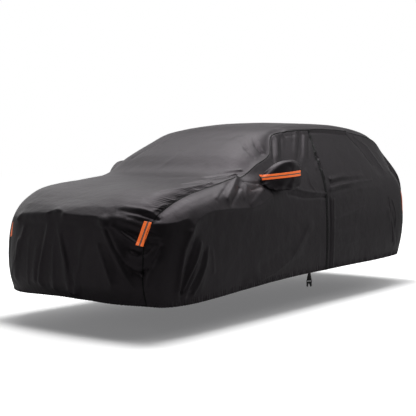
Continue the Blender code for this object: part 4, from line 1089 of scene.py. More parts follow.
def flat_grid(columns: int, rows: int) -> tuple[Any, list[tuple[Any, int, int]]]:
    """A flat grid of vertices.

    Args:
        columns: Vertices along it.
        rows: Vertices across it.

    Returns:
        The bmesh, and each vertex with its column and row.
    """
    made = bmesh.new()
    bmesh.ops.create_grid(made, x_segments=columns - 1, y_segments=rows - 1, size=0.5)
    return made, [(vert, round((vert.co.x + 0.5) * (columns - 1)),
                   round((vert.co.y + 0.5) * (rows - 1))) for vert in made.verts]


def grid_mesh(name: str, points: Array, flat: Array) -> Any:
    """A mesh of a grid of points.

    Args:
        name: The mesh's name.
        points: Places in metres, as (rows, columns, 3).
        flat: The places' UV coordinates, as (rows, columns, 2).

    Returns:
        The mesh data.
    """
    rows, columns = points.shape[:2]
    made, places = flat_grid(columns, rows)
    layer = made.loops.layers.uv.new("flat")
    for vert, column, row in places:
        vert.co = points[row, column]
        for loop in vert.link_loops:
            loop[layer].uv = flat[row, column]
    return mesh_from(made, name)


def corner_verts(mesh: Any) -> Array:
    """The vertex at each corner of a mesh's faces.

    Args:
        mesh: The mesh data.

    Returns:
        The vertices' numbers.
    """
    corners = np.zeros(len(mesh.loops), int)
    mesh.loops.foreach_get("vertex_index", corners)
    return corners


def face_outwards(mesh: Any, facing: Array) -> None:
    """Reverse a mesh's faces if they look inwards.

    Args:
        mesh: The mesh data.
        facing: The outward directions of its vertices, as (n, 3).
    """
    first = np.zeros(len(mesh.polygons), int)
    mesh.polygons.foreach_get("loop_start", first)
    normals = np.zeros(len(mesh.polygons) * 3)
    mesh.polygons.foreach_get("normal", normals)
    if (normals.reshape(-1, 3) * facing[corner_verts(mesh)[first]]).sum() < 0:
        mesh.flip_normals()


def tree_over(pieces: Iterable[Any]) -> BVHTree:
    """A search tree over the meshes of some pieces.

    Args:
        pieces: The pieces.

    Returns:
        The tree.
    """
    made = bmesh.new()
    for piece in pieces:
        made.from_mesh(piece.data)
    tree = BVHTree.FromBMesh(made)
    made.free()
    return tree


def add_piece(name: str, mesh: Any, material: Any, nodes: tuple[str, ...] = ()) -> Any:
    """Link a mesh as a piece of the object that stands for CAD nodes.

    Args:
        name: The piece's name.
        mesh: Its mesh data, in the row frame.
        material: Its material.
        nodes: The CAD nodes that it replaces.

    Returns:
        The piece.
    """
    mesh.materials.clear()
    mesh.materials.append(material)
    mesh.polygons.foreach_set("use_smooth", [True] * len(mesh.polygons))
    piece = bpy.data.objects.new(name, mesh)
    bpy.context.scene.collection.objects.link(piece)
    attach(piece, "root")
    if nodes:
        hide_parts(*nodes)
    LOG.info("%s: %d faces", name, len(mesh.polygons))
    return piece


def thicken(piece: Any, thickness: float) -> None:
    """Give a sheet its thickness, inwards, with a Solidify modifier.

    Args:
        piece: The piece.
        thickness: Its thickness in metres.
    """
    wall = piece.modifiers.new("thickness", "SOLIDIFY")
    wall.thickness = thickness
    wall.offset = -1.0
    wall.use_rim = True


# ------------------------------------------------------------------ the cloth panels

class Zone(NamedTuple):
    """A part of a panel whose cells are halved, between low and high places."""

    low: tuple[float, float]
    high: tuple[float, float]

    def holds(self, place: Any) -> bool:
        """Whether a place of the flat grid is in the zone."""
        return (self.low[0] <= place.x <= self.high[0]) and (self.low[1] <= place.y <= self.high[1])


@dataclass
class ClothPanel:
    """One sewn panel of the cover; u and v are the two directions of its flat grid."""

    name: str
    nodes: tuple[str, ...]
    form: CoverForm
    flank: Flank
    material: Any
    flat_size: tuple[float, float] = (4.70, 1.42)
    flat_area: float = 5.18
    rests_on: tuple[str, ...] = ("panel_centre",)
    hem_height: float = 0.0042
    hem_reach: float = 0.045
    hem_fade: float = 1.5
    hem_period: float = 0.024
    hem_seed: int = 3
    hem_start: float = 0.06
    hem_places: int = 201
    seam_soft: float = 0.035
    seam_calm: float = 0.05

    def stations(self) -> tuple[Array, Array]:
        """Places of the grid's columns and rows."""
        raise NotImplementedError

    def zones(self) -> tuple[Zone, ...]:
        """Zones with finer cells."""
        raise NotImplementedError

    def surface(self, u: Array, v: Array) -> Array:
        """Points of the smooth shape."""
        raise NotImplementedError

    def seams(self, u: Array, v: Array, points: Array) -> tuple[Array, Array]:
        """Distance to the nearest seam and the seam's outward direction there."""
        raise NotImplementedError

    def hem(self, u: Array, v: Array, points: Array) -> tuple[Array, Array]:
        """Distance up from the hem, and how far along the hem from a corner."""
        raise NotImplementedError

    def cut(self, u: Array, v: Array) -> Array:
        """Flat coordinates of the cloth in metres."""
        raise NotImplementedError

    def gathers(self, u: Array, off: Array) -> Array:
        """Height of the panel's own gathers, by u and the distance from the seam."""
        return np.zeros_like(off)

    def outward(self, points: Array) -> Array:
        """Rough directions away from the space under the cover."""
        return points * SIDE_SLANT - INSIDE

    def open_holes(self, mesh: Any, places: Array) -> None:
        """Cut the panel's own holes, where it has any."""

    def raised(self, u: Array, v: Array) -> tuple[Array, Array]:
        """The folded cloth over the ground plane.

        Args:
            u: Places along the panel.
            v: Places across it.

        Returns:
            The points, and their outward directions.
        """
        points = self.surface(u, v)
        facing = facing_of(self.surface, u, v)
        facing *= np.sign((facing * self.outward(points)).sum(-1, keepdims=True))
        off, shared = self.seams(u, v, points)
        share = np.exp(-(off / self.seam_soft) ** 2)[:, None]
        facing = unit(facing * (1 - share) + shared * share)
        sided = points * self.flank.turn
        height = fold_height(sided)
        height += Crumple().height_at(sided) * smooth_step(off / self.seam_calm)
        up, run = self.hem(u, v, points)
        ends = smooth_step(run / self.hem_start) * np.exp(-(up / self.hem_reach) ** self.hem_fade)
        height += uneven_wave(run, self.hem_period, self.hem_seed) * self.hem_height * ends
        height += self.gathers(u, off)
        return points + facing * height[:, None], facing

    def flat_mesh(self) -> Any:
        """The panel's flat grid, with finer cells in its zones.

        Returns:
            The mesh data, with u and v as its first two coordinates.
        """
        columns, rows = self.stations()
        made, places = flat_grid(len(columns), len(rows))
        for vert, column, row in places:
            vert.co = (columns[column], rows[row], 0)
        for zone in self.zones():
            edges = [edge for edge in made.edges if all(zone.holds(v.co) for v in edge.verts)]
            bmesh.ops.subdivide_edges(made, edges=edges, cuts=1, use_grid_fill=True)
        return mesh_from(made, self.name)

    def build(self) -> Any:
        """Make the piece.

        Returns:
            The piece.
        """
        mesh = self.flat_mesh()
        flat = np.zeros(len(mesh.vertices) * 3)
        mesh.vertices.foreach_get("co", flat)
        u, v = flat.reshape(-1, 3)[:, :2].T
        points, facing = self.raised(u, v)
        points, facing = points * self.flank.turn - HELD, facing * self.flank.turn
        mesh.vertices.foreach_set("co", points.ravel())
        layer = mesh.uv_layers.new(name="flat")
        layer.data.foreach_set("uv", self.cut(u, v)[corner_verts(mesh)].ravel())
        mesh.update()
        face_outwards(mesh, facing)
        self.open_holes(mesh, points + HELD)
        piece = add_piece(self.name, mesh, self.material, self.nodes)
        thicken(piece, CLOTH_THICK)
        return piece


@dataclass
class CentrePanel(ClothPanel):
    """The panel that runs from the nose hem over the roof to the tail hem."""

    columns: int = 92
    half_width: float = 0.80
    gather_height: float = 0.0064
    gather_period: float = 0.028
    gather_slant: float = 0.60
    gather_reach: float = 0.070
    gather_fade: float = 1.6
    gather_seed: int = 5
    gather_start: tuple[float, float] = (4.6, 0.6)
    gather_ease: tuple[float, float] = (7.6, 1.0)
    gather_faint: float = 0.35
    gather_end: float = 8.4
    sewn_edge: float = 0.008

    def stations(self) -> tuple[Array, Array]:
        """Rows closer together on the nose and hood, which have the finest folds."""
        rows = spaced(lambda where: self.form.centre(where, np.zeros_like(where)), CENTRE_SPACING)
        return rows, np.linspace(-1, 1, self.columns + 1)

    def zones(self) -> tuple[Zone, ...]:
        """The nose, the near part of the hood and windscreen, and the strip by the hood's seam."""
        return (Zone((0.0, -1.0), (4.9, 1.0)), Zone((4.8, 0.52), (11.0, 1.0)),
                Zone((4.8, 0.87), (7.6, 1.0)))

    def surface(self, u: Array, v: Array) -> Array:
        """Points of the smooth shape."""
        return self.form.centre(u, v)

    def outward(self, points: Array) -> Array:
        """Away from the space under the cover."""
        return points - INSIDE

    def seams(self, u: Array, v: Array, points: Array) -> tuple[Array, Array]:
        """Both shoulder seams.

        Args:
            u: Section counts.
            v: From -1 to 1 across the panel.
            points: The points of the smooth shape there.

        Returns:
            Distances to the nearer seam, and its outward directions.
        """
        side = np.where(v < 0, -1.0, 1.0)[:, None] * (1, 0, 0) + np.array((0, 1, 1))
        off = np.linalg.norm(points - self.form.seam(u) * side, axis=1)
        return off, self.form.shared_facing(u) * side

    def hem(self, u: Array, v: Array, points: Array) -> tuple[Array, Array]:
        """The nose hem and the tail hem.

        Args:
            u: Section counts.
            v: From -1 to 1 across the panel.
            points: The points of the smooth shape there.

        Returns:
            Metres up from the nearer hem, and along it from the nearer corner.
        """
        ends = np.where(u < self.form.last_section / 2, 0.0, float(self.form.last_section))
        up = np.linalg.norm(points - self.form.centre(ends, v), axis=1)
        fine = np.linspace(-1, 1, self.hem_places)
        run = run_of(self.form.centre(np.zeros_like(fine), fine))
        along = np.interp(v, fine, run)
        return up, np.minimum(along, run[-1] - along)

    def gathers(self, u: Array, off: Array) -> Array:
        """Short slanted gathers along the hood's seams, fainter and then gone up the windscreen.

        Args:
            u: Section counts.
            off: Metres from the seam.

        Returns:
            Their heights.
        """
        run = np.interp(u, self.form.stations, run_of(self.form.seam(self.form.stations)))
        (start, rise), (ease, fall) = self.gather_start, self.gather_ease
        strong = (1 - self.gather_faint) * smooth_step((ease - u) / fall)
        zone = smooth_step((u - start) / rise) * (self.gather_faint + strong)
        fade = smooth_step(off / self.sewn_edge) * (u < self.gather_end)
        fade = fade * np.exp(-(off / self.gather_reach) ** self.gather_fade)
        wave = uneven_wave(run + self.gather_slant * off, self.gather_period, self.gather_seed)
        return self.gather_height * wave * zone * fade

    def cut(self, u: Array, v: Array) -> Array:
        """Flat coordinates of the cloth in metres.

        Args:
            u: Section counts.
            v: From -1 to 1 across the panel.

        Returns:
            Metres across, and from the nose hem.
        """
        fine = self.form.stations
        run = run_of(self.form.centre(fine, np.zeros_like(fine)))
        return paired(v * self.half_width, np.interp(u, fine, run))


class Part(Enum):
    """How much of a side a panel takes: all of it, or what the zip leaves before or behind it."""

    WHOLE = "whole"
    FRONT = "front"
    REAR = "rear"


@dataclass
class SidePanel(ClothPanel):
    """A side panel; u runs from 0 to 1 along its part, and v from the seam to the hem."""

    part: Part = Part.WHOLE
    cell: float = 0.008
    hem_cell: float = 0.8
    hem_places: int = 401
    hem_zone: float = 0.955
    post_metres: float = 0.42
    fall_metres: float = 1.15
    mouth_share: float = 0.80

    def zip_at(self, fall: Array) -> Array:
        """Post count of the zip's middle."""
        return np.interp(fall * SIDE_KNOTS, range(SIDE_KNOTS + 1), ZIP_LINE)

    def stations(self) -> tuple[Array, Array]:
        """Evenly spaced columns, and rows a little closer together towards the hem.

        Returns:
            The columns' u and the rows' v.
        """
        return (spaced(lambda u: self.surface(u, np.full_like(u, 0.5)),
                       ((0, self.cell), (1, self.cell))),
                spaced(lambda v: self.surface(np.full_like(v, 0.5), v),
                       ((0, self.cell), (1, self.cell * self.hem_cell))))

    def zones(self) -> tuple[Zone, ...]:
        """The hem."""
        return (Zone((0.0, self.hem_zone), (1.0, 1.0)),)

    def posts(self, u: Array, v: Array) -> Array:
        """Post counts of the places of this part.

        Args:
            u: Shares along the part.
            v: Falls from 0 to 1.

        Returns:
            The post counts.
        """
        start, end = 0.0, self.form.last_post
        if self.part is Part.FRONT:
            end = self.zip_at(v) - ZIP_HALF_POSTS
        if self.part is Part.REAR:
            start = self.zip_at(v) + ZIP_HALF_POSTS
        return start + u * (end - start)

    def surface(self, u: Array, v: Array) -> Array:
        """Points of the smooth shape."""
        return self.form.side(self.posts(np.minimum(u, 1.0), v), v)

    def seams(self, u: Array, v: Array, points: Array) -> tuple[Array, Array]:
        """The shoulder seam and the two corner seams.

        Args:
            u: Shares along the part.
            v: Falls from 0 to 1.
            points: The points of the smooth shape there.

        Returns:
            Distances to the nearest seam, and its outward directions.
        """
        along = self.posts(u, v)
        best = np.full(len(u), np.inf)
        facing = np.zeros((len(u), 3))
        zeros = np.zeros_like(u)
        lasts = np.full_like(u, float(self.form.last_post))
        for post, fall, where in ((along, zeros, self.form.top_section(along)),
                                  (zeros, v, NOSE_TURN * (1 - v)),
                                  (lasts, v, self.form.tail_section(v))):
            off = np.linalg.norm(points - self.form.side(post, fall), axis=1)
            nearer = off < best
            best[nearer] = off[nearer]
            facing[nearer] = self.form.shared_facing(where)[nearer]
        return best, facing

    def hem(self, u: Array, v: Array, points: Array) -> tuple[Array, Array]:
        """The hem, measured from the nearer corner.

        Args:
            u: Shares along the part.
            v: Falls from 0 to 1.
            points: The points of the smooth shape there.

        Returns:
            Metres up from the hem, and along it from the nearer corner.
        """
        along = self.posts(u, v)
        up = np.linalg.norm(points - self.form.side(along, np.ones_like(along)), axis=1)
        fine = np.linspace(0, self.form.last_post, self.hem_places)
        run = run_of(self.form.side(fine, np.ones_like(fine)))
        place = np.interp(along, fine, run)
        return up, np.minimum(place, run[-1] - place)

    def open_holes(self, mesh: Any, places: Array) -> None:
        """Leave out the faces inside the mouth of the mirror pocket.

        Args:
            mesh: The panel's mesh data.
            places: Its vertices over the ground plane, as (n, 3).
        """
        if self.part is Part.REAR:
            return
        mouth = POCKET_RINGS[0]
        across = (places[:, 1] - mouth.y) / mouth.deep
        upward = (places[:, 2] - mouth.z - mouth.tilt * (places[:, 1] - mouth.y)) / mouth.high
        power = 2 / MirrorPocket.square
        inside = np.abs(across) ** power + np.abs(upward) ** power < self.mouth_share
        change_mesh(mesh, lambda made: bmesh.ops.delete(
            made, context="FACES",
            geom=[face for face in made.faces if all(inside[vert.index] for vert in face.verts)]))

    def cut(self, u: Array, v: Array) -> Array:
        """Metres along the side, and metres down from the seam."""
        return paired(self.posts(u, v) * self.post_metres, v * self.fall_metres)


@dataclass
class ClothBody:
    """All the cloth panels, sewn along shared seams."""

    form: CoverForm
    material: Any

    def plan(self) -> dict[str, ClothPanel]:
        """The four panels, not yet made.

        Returns:
            The panels by a short name; the plain side's keeps the usual flat size.
        """
        common = {"form": self.form, "material": self.material}
        return {
            "centre": CentrePanel("centre_cloth", ("panel_centre",), flank=Flank.ZIP,
                                  flat_size=(1.80, 6.75), flat_area=9.60,
                                  rests_on=("panel_left_front", "panel_right"), **common),
            "front": SidePanel("zip_side_front_cloth", ("panel_left_front",), flank=Flank.ZIP,
                               part=Part.FRONT, cell=0.0085, flat_size=(2.66, 1.42),
                               flat_area=2.60, **common),
            "rear": SidePanel("zip_side_rear_cloth", ("panel_left_rear",), flank=Flank.ZIP,
                              part=Part.REAR, cell=0.0094, flat_size=(2.05, 1.42),
                              flat_area=2.58, **common),
            "plain": SidePanel("plain_side_cloth", ("panel_right",), flank=Flank.PLAIN,
                               cell=0.018, **common),
        }


# ------------------------------------------------------------------ what is sewn to the panels

@dataclass
class SeamRidge:
    """The felled seam between two panels: two rounded ridges with a groove between them."""

    name: str
    flank: Flank
    centre: CentrePanel
    side: SidePanel
    material: Any
    reach: float = 0.0064
    rise: float = 0.0020
    length: float = 6.28
    thickness: float = 0.0008
    spacing: float = 0.012
    ridge: tuple[tuple[float, float], ...] = ((1.0, 0.1), (0.8, 0.7), (0.45, 1.0), (0.12, 0.55))
    groove: tuple[float, float] = (0.0, 0.2)
    beside: float = 0.99
    corner_gap: float = 0.03
    seam_gap: float = 0.015

    def build(self) -> Any:
        """Make the piece from the nose hem over the roof to the tail hem.

        Returns:
            The piece.
        """
        form, sign = self.centre.form, self.flank.value
        where = spaced(form.seam, ((0, self.spacing), (form.last_section, self.spacing)))
        line, facing = self.centre.raised(where, np.full_like(where, sign))
        beside, _ = self.centre.raised(where, np.full_like(where, sign * self.beside))
        along, fall = form.side_places(where)
        along = np.clip(along, self.corner_gap, form.last_post - self.corner_gap)
        below, _ = self.side.raised(along / form.last_post, np.clip(fall, self.seam_gap, 1.0))
        inner, outer = unit(beside - line), unit(below * self.flank.turn - line)
        steps = [(inner, *step) for step in (*self.ridge, self.groove)]
        steps += [(outer, *step) for step in reversed(self.ridge)]
        points = np.stack([line + way * self.reach * off + facing * self.rise * up
                           for way, off, up in steps], axis=1)
        flat = paired(np.linspace(0, 1, len(steps))[None], run_of(line)[:, None])
        mesh = grid_mesh(self.name, points - HELD, flat)
        face_outwards(mesh, np.repeat(facing, len(steps), axis=0))
        piece = add_piece(self.name, mesh, self.material)
        thicken(piece, self.thickness)
        2 * self.reach
        return piece


class Ring(NamedTuple):
    """A ring of a mirror pocket: share of its reach, middle, half sizes, and rise per metre."""

    share: float
    y: float
    z: float
    deep: float
    high: float
    tilt: float


POCKET_TIP = 1.040
POCKET_RINGS = (
    Ring(0.00, -0.620, 1.205, 0.178, 0.050, 0.16),
    Ring(0.22, -0.590, 1.222, 0.188, 0.090, 0.12),
    Ring(0.46, -0.540, 1.236, 0.184, 0.124, 0.08),
    Ring(0.70, -0.485, 1.243, 0.160, 0.134, 0.04),
    Ring(0.88, -0.450, 1.246, 0.112, 0.120, 0.02),
    Ring(0.97, -0.435, 1.250, 0.066, 0.082, 0.00),
)


@dataclass
class MirrorPocket:
    """A hollow pocket sewn into the side panel, which stands out from it."""

    flank: Flank
    host: Any
    material: Any
    around: int = 72
    body_rings: int = 30
    cap_rings: int = 7
    square: float = 0.75
    sink: float = 0.004
    outside: float = 2.0
    core: float = 0.86
    slant: tuple[float, float, float] = (1.6, 1.0, 1.0)
    weld: float = 2e-5
    flat_size: tuple[float, float] = (0.76, 0.42)
    flat_area: float = 0.25
    cut_size: tuple[float, float] = (0.14, 0.30)
    gather_height: float = 0.0075
    slack_height: float = 0.0095
    ripple_height: float = 0.0040

    def rings(self) -> Array:
        """The rings from the mouth to the tip, with a rounded cap.

        Returns:
            A row for each ring, with Ring's fields as its columns.
        """
        table = curve(POCKET_RINGS, np.linspace(0, len(POCKET_RINGS) - 1, self.body_rings))
        last = Ring(*table[-1])
        caps = []
        for step in np.linspace(0, 1, self.cap_rings + 1)[1:]:
            lean = math.sin(step * math.pi / 2)
            shrink = max(math.cos(step * math.pi / 2), 1e-4)
            caps.append(last._replace(share=last.share + (1 - last.share) * lean,
                                      deep=last.deep * shrink, high=last.high * shrink))
        return np.concatenate([table, caps])

    def mouth_reach(self, mouth: Ring, across: Array, upward: Array) -> Array:
        """How far out the side's cloth is all round the mouth.

        Args:
            mouth: The mouth's ring.
            across: Shares of its half depth, for every point round it.
            upward: Shares of its half height.

        Returns:
            Metres from the middle of the cover, a little under the cloth.
        """
        sign = self.flank.value
        tree = tree_over([self.host])
        reach = np.zeros(len(across))
        for place, (over, up) in enumerate(zip(across, upward)):
            y = over * mouth.deep
            z = mouth.z + up * mouth.high + mouth.tilt * y
            start = Vector((sign * self.outside, mouth.y + y, z)) - Vector(HELD)
            reach[place] = abs(tree.ray_cast(start, Vector((-sign, 0, 0)))[0].x) - self.sink
        return reach

    def build(self) -> Any:
        """Make the piece: rings from its mouth to its tip.

        Returns:
            The piece.
        """
        table = self.rings()
        angle = np.linspace(0, 2 * math.pi, self.around + 1)
        across, upward = (np.sign(part) * np.abs(part) ** self.square
                          for part in (np.cos(angle), np.sin(angle)))
        inner = self.mouth_reach(Ring(*table[0]), across, upward)[None]
        share, y, z, deep, high, tilt = (column[:, None] for column in table.T)
        over = across[None] * deep
        points = np.stack([inner + (POCKET_TIP - inner) * share, y + over,
                           z + upward[None] * high + tilt * over], axis=-1)
        middle = np.stack(np.broadcast_arrays(np.full_like(inner, self.core), y, z), axis=-1)
        outward = unit((points - middle) * self.slant)
        points = points + outward * self.creases(angle[None], share)[..., None]
        flat = paired(angle[None] * self.cut_size[0], share * self.cut_size[1])
        name = "mirror_pouch_" + self.flank.name.lower()
        mesh = grid_mesh(name, points * self.flank.turn - HELD, flat)
        face_outwards(mesh, (outward * self.flank.turn).reshape(-1, 3))
        change_mesh(mesh, lambda made: bmesh.ops.remove_doubles(
            made, verts=made.verts[:], dist=self.weld))
        piece = add_piece(name, mesh, self.material, ("mirror_pocket_" + self.flank.end,))
        thicken(piece, CLOTH_THICK)
        return piece

    def creases(self, angle: Array, share: Array) -> Array:
        """Height of the pocket's creases: gathers at its root, slack below, ripples all round.

        Args:
            angle: Angles round the pocket, as (1, k).
            share: Shares of its reach, as (n, 1).

        Returns:
            The heights, as (n, k).
        """
        root = np.exp(-(share / 0.30) ** 2) * smooth_step(share / 0.06)
        gathers = self.gather_height * np.sin(
            angle * 11 + 1.2 * np.sin(angle * 2 + 0.6) + share * 3)
        below = smooth_step(-np.sin(angle)) * smooth_step(share / 0.15)
        slack = self.slack_height * (np.sin(share * 17 + 2.2 * np.cos(angle) + 0.4)
                                     * np.cos(angle * 3 + share * 7))
        ripple = self.ripple_height * np.sin(share * 12 + angle * 5) * smooth_step(share / 0.3)
        return root * gathers + (below * slack + ripple) * smooth_step((1 - share) / 0.1)


class Strip(NamedTuple):
    """A strip: its CAD node, four corners over the ground plane, which way it faces, and size."""

    node: str
    corners: tuple[tuple[float, float, float], ...]
    facing: tuple[float, float, float]
    cells: tuple[int, int]
    upright: bool
    thread_length: float
    flat: tuple[float, float]


STRIPS = (
    Strip("strip_nose", ((0.735, -2.120, 0.912), (0.775, -2.075, 0.900), (0.705, -2.185, 0.733),
                         (0.750, -2.150, 0.720)), (0.62, -0.78, 0.10), (12, 36), True, 0.24,
          (0.061, 0.194)),
    Strip("strip_tail", ((0.845, 2.060, 1.035), (0.880, 2.020, 1.030), (0.865, 2.100, 0.790),
                         (0.900, 2.050, 0.785)), (0.80, 0.60, 0.05), (12, 40), True, 0.24,
          (0.056, 0.258)),
    Strip("strip_mirror", ((0.922, -0.800, 1.246), (1.024, -0.366, 1.284), (0.924, -0.800, 1.202),
                           (1.028, -0.366, 1.236)), (0.85, -0.53, 0.00), (64, 12), False, 0.44,
          (0.050, 0.447)),
)


@dataclass
class ReflectiveStrip:
    """A strip laid on the cloth, a little stiffer than what carries it."""

    strip: Strip
    flank: Flank
    hosts: tuple[Any, ...]
    rests_on: str
    material: Any
    lift: float = 0.0016
    thickness: float = 0.0012
    stiff: int = 2
    outside: float = 0.5

    def heights(self, plane: Array, facing: Array) -> Array:
        """How far the cloth stands off the strip's plane, evened out as a stiff tape would.

        Args:
            plane: Points of the plane, as (rows, columns, 3).
            facing: The plane's outward direction.

        Returns:
            Metres, as (rows, columns).
        """
        tree = tree_over(self.hosts)
        lift = np.zeros(plane.shape[:2])
        for row, column in np.ndindex(lift.shape):
            start = Vector(plane[row, column] + facing * self.outside)
            hit = tree.ray_cast(start, Vector(-facing))[0]
            lift[row, column] = (np.array(hit) - plane[row, column]) @ facing
        for _ in range(self.stiff):
            soft = np.pad(lift, 1, mode="edge")
            soft = (soft[:-2, 1:-1] + soft[2:, 1:-1] + soft[1:-1, :-2] + soft[1:-1, 2:]) / 4
            lift = np.maximum(lift, soft)
        return lift

    def build(self) -> Any:
        """Make the piece.

        Returns:
            The piece.
        """
        strip, turn = self.strip, self.flank.turn
        facing = unit(np.array(strip.facing) * turn)
        corners = [np.array(corner) * turn - HELD for corner in strip.corners]
        over, down = (part[..., None] for part in np.meshgrid(
            *(np.linspace(0, 1, cells + 1) for cells in strip.cells)))
        plane = ((corners[0] * (1 - over) + corners[1] * over) * (1 - down)
                 + (corners[2] * (1 - over) + corners[3] * over) * down)
        points = plane + facing * (self.heights(plane, facing) + self.lift)[..., None]
        wide, tall = (over, down) if strip.upright else (down, over)
        flat = np.concatenate([wide, tall * strip.thread_length], axis=-1)
        name = "reflective_" + strip.node + "_" + self.flank.name.lower()
        mesh = grid_mesh(name, points, flat)
        face_outwards(mesh, np.broadcast_to(facing, (len(mesh.vertices), 3)))
        piece = add_piece(name, mesh, self.material,
                          (strip.node + "_" + self.flank.end,))
        thicken(piece, self.thickness)
        return piece


@dataclass
class SideZip:
    """The zip from the shoulder seam to the hem: two tapes and a closed chain of teeth."""

    side: SidePanel
    tape: Any
    moulded: Any
    cell: float = 0.006
    profile: tuple[tuple[float, float], ...] = (
        (-0.10, 0.0012), (0.0, 0.0022), (0.10, 0.0012), (0.30, 0.0006), (0.46, 0.0016),
        (0.54, 0.0016), (0.70, 0.0006), (0.90, 0.0012), (1.0, 0.0022), (1.10, 0.0012))
    thickness: float = 0.0010
    flat_size: tuple[float, float] = (0.0392, 1.41)
    pitch: float = 0.0045
    tooth: tuple[float, float, float] = (0.0060, 0.0022, 0.0024)
    taper: float = 0.7
    stagger: float = 0.0012
    stand: float = 0.0026
    end_gap: float = 0.004

    def build(self) -> list[Any]:
        """Make the tape and the teeth.

        Returns:
            The two pieces.
        """
        form = self.side.form
        falls = spaced(lambda fall: form.side(self.side.zip_at(fall), fall),
                       ((0, self.cell), (1, self.cell)))
        middle = self.side.zip_at(falls)
        (front, ahead), (rear, behind) = (
            self.side.raised((middle + ZIP_HALF_POSTS * off) / form.last_post, falls)
            for off in (-1, 1))
        facing, over = unit(ahead + behind), unit(rear - front)
        width = np.linalg.norm(rear - front, axis=1)[:, None]
        points = np.stack([front + over * width * off + facing * rise
                           for off, rise in self.profile], axis=1)
        run = run_of(front)
        flat = paired(np.array([off for off, _ in self.profile])[None] * 2 * ZIP_HALF, run[:, None])
        mesh = grid_mesh("zip_tape", points - HELD, flat)
        face_outwards(mesh, np.repeat(facing, len(self.profile), axis=0))
        tape = add_piece("zip_tape", mesh, self.tape, ("zip_left",))
        thicken(tape, self.thickness)
        return [tape, self.chain(run, (front + rear) / 2, facing, over)]

    def chain(self, run: Array, middle: Array, facing: Array, over: Array) -> Any:
        """The teeth, which mesh from both sides by turns.

        Args:
            run: Metres along the zip at each of its points.
            middle: Those points.
            facing: Their outward directions.
            over: Their directions across the zip.

        Returns:
            The piece.
        """
        teeth = bmesh.new()
        count = int(run[-1] / self.pitch)
        places = np.linspace(self.end_gap, run[-1] - self.end_gap, count)
        centre = at_places(places, run, middle)
        outs, wides = (unit(at_places(places, run, way)) for way in (facing, over))
        for number, (spot, out, wide) in enumerate(zip(centre, outs, wides)):
            shift = (self.stagger if number % 2 else -self.stagger) * wide
            down = np.cross(out, wide)
            for vert in bmesh.ops.create_cube(teeth, size=1.0)["verts"]:
                taper = self.taper if vert.co.z > 0 else 1.0
                place = (wide * vert.co.x * self.tooth[0] * taper
                         + down * vert.co.y * self.tooth[1] * taper
                         + out * vert.co.z * self.tooth[2])
                vert.co = spot + shift + out * self.stand + place - HELD
        bmesh.ops.recalc_face_normals(teeth, faces=teeth.faces[:])
        return add_piece("zip_chain", mesh_from(teeth, "zip_chain"), self.moulded)


@dataclass
class HemStrap:
    """The strap behind the hem and the buckle half on its end."""

    webbing: Any
    moulded: Any
    flat_size: tuple[float, float] = (0.045, 0.145)
    strap_edge: tuple[float, int] = (0.0004, 2)
    buckle_edge: tuple[float, int] = (0.0009, 3)
    weld: float = 1e-5
    flat_below: float = math.radians(1.5)
    edge_above: float = math.radians(35)

    def build(self) -> list[Any]:
        """Make smooth copies of the CAD strap and buckle.

        Returns:
            The two pieces.
        """
        buckle = self.copy_of("buckle_left", "buckle_half", self.moulded,
                              self.buckle_edge)
        strap = self.copy_of("strap_left", "hem_strap", self.webbing, self.strap_edge)
        return [strap, buckle]

    def copy_of(self, node: str, name: str, material: Any,
                edge: tuple[float, int]) -> Any:
        """A merged copy of a CAD node with rounded edges and flat coordinates.

        Args:
            node: The CAD node.
            name: The piece's name.
            material: Its material.
            edge: Width and steps of its rounded edges.

        Returns:
            The piece.
        """
        made = bmesh.new()
        made.from_mesh(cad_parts[node].data)
        bmesh.ops.remove_doubles(made, verts=made.verts[:], dist=self.weld)
        bmesh.ops.dissolve_limit(made, angle_limit=self.flat_below, verts=made.verts[:],
                                 edges=made.edges[:])
        layer = made.loops.layers.uv.get("flat") or made.loops.layers.uv.new("flat")
        for face in made.faces:
            for loop in face.loops:
                loop[layer].uv = (loop.vert.co.y, loop.vert.co.z)
        piece = add_piece(name, mesh_from(made, name), material, (node,))
        rounded = piece.modifiers.new("rounded edges", "BEVEL")
        rounded.width, rounded.segments = edge
        rounded.limit_method = "ANGLE"
        rounded.angle_limit = self.edge_above
        rounded.harden_normals = True
        return piece


# ------------------------------------------------------------------ stage and camera

class Lamp(NamedTuple):
    """A soft rectangular lamp of the studio, aimed at the cover's middle."""

    name: str
    place: tuple[float, float, float]
    size: tuple[float, float]
    power: float


LAMPS = (
    Lamp("overhead", (0.0, 0.0, 4.5), (5.0, 7.0), 371.0),
    Lamp("backdrop", (-5.0, 9.0, 1.2), (12.0, 5.0), 169.0),
    Lamp("zip side rear", (6.0, 8.0, 1.2), (8.0, 5.0), 66.0),
    Lamp("far front", (-9.0, -3.0, 1.0), (8.0, 5.0), 53.0),
    Lamp("far top", (-4.0, 0.0, 3.5), (4.0, 9.0), 174.0),
    Lamp("zip side top", (4.0, -1.0, 4.5), (4.0, 6.0), 72.0),
    Lamp("zip side rear top", (4.0, 5.0, 4.5), (5.0, 4.0), 49.0),
    Lamp("low front", (-3.0, -9.0, 0.5), (7.0, 4.0), 42.0),
)


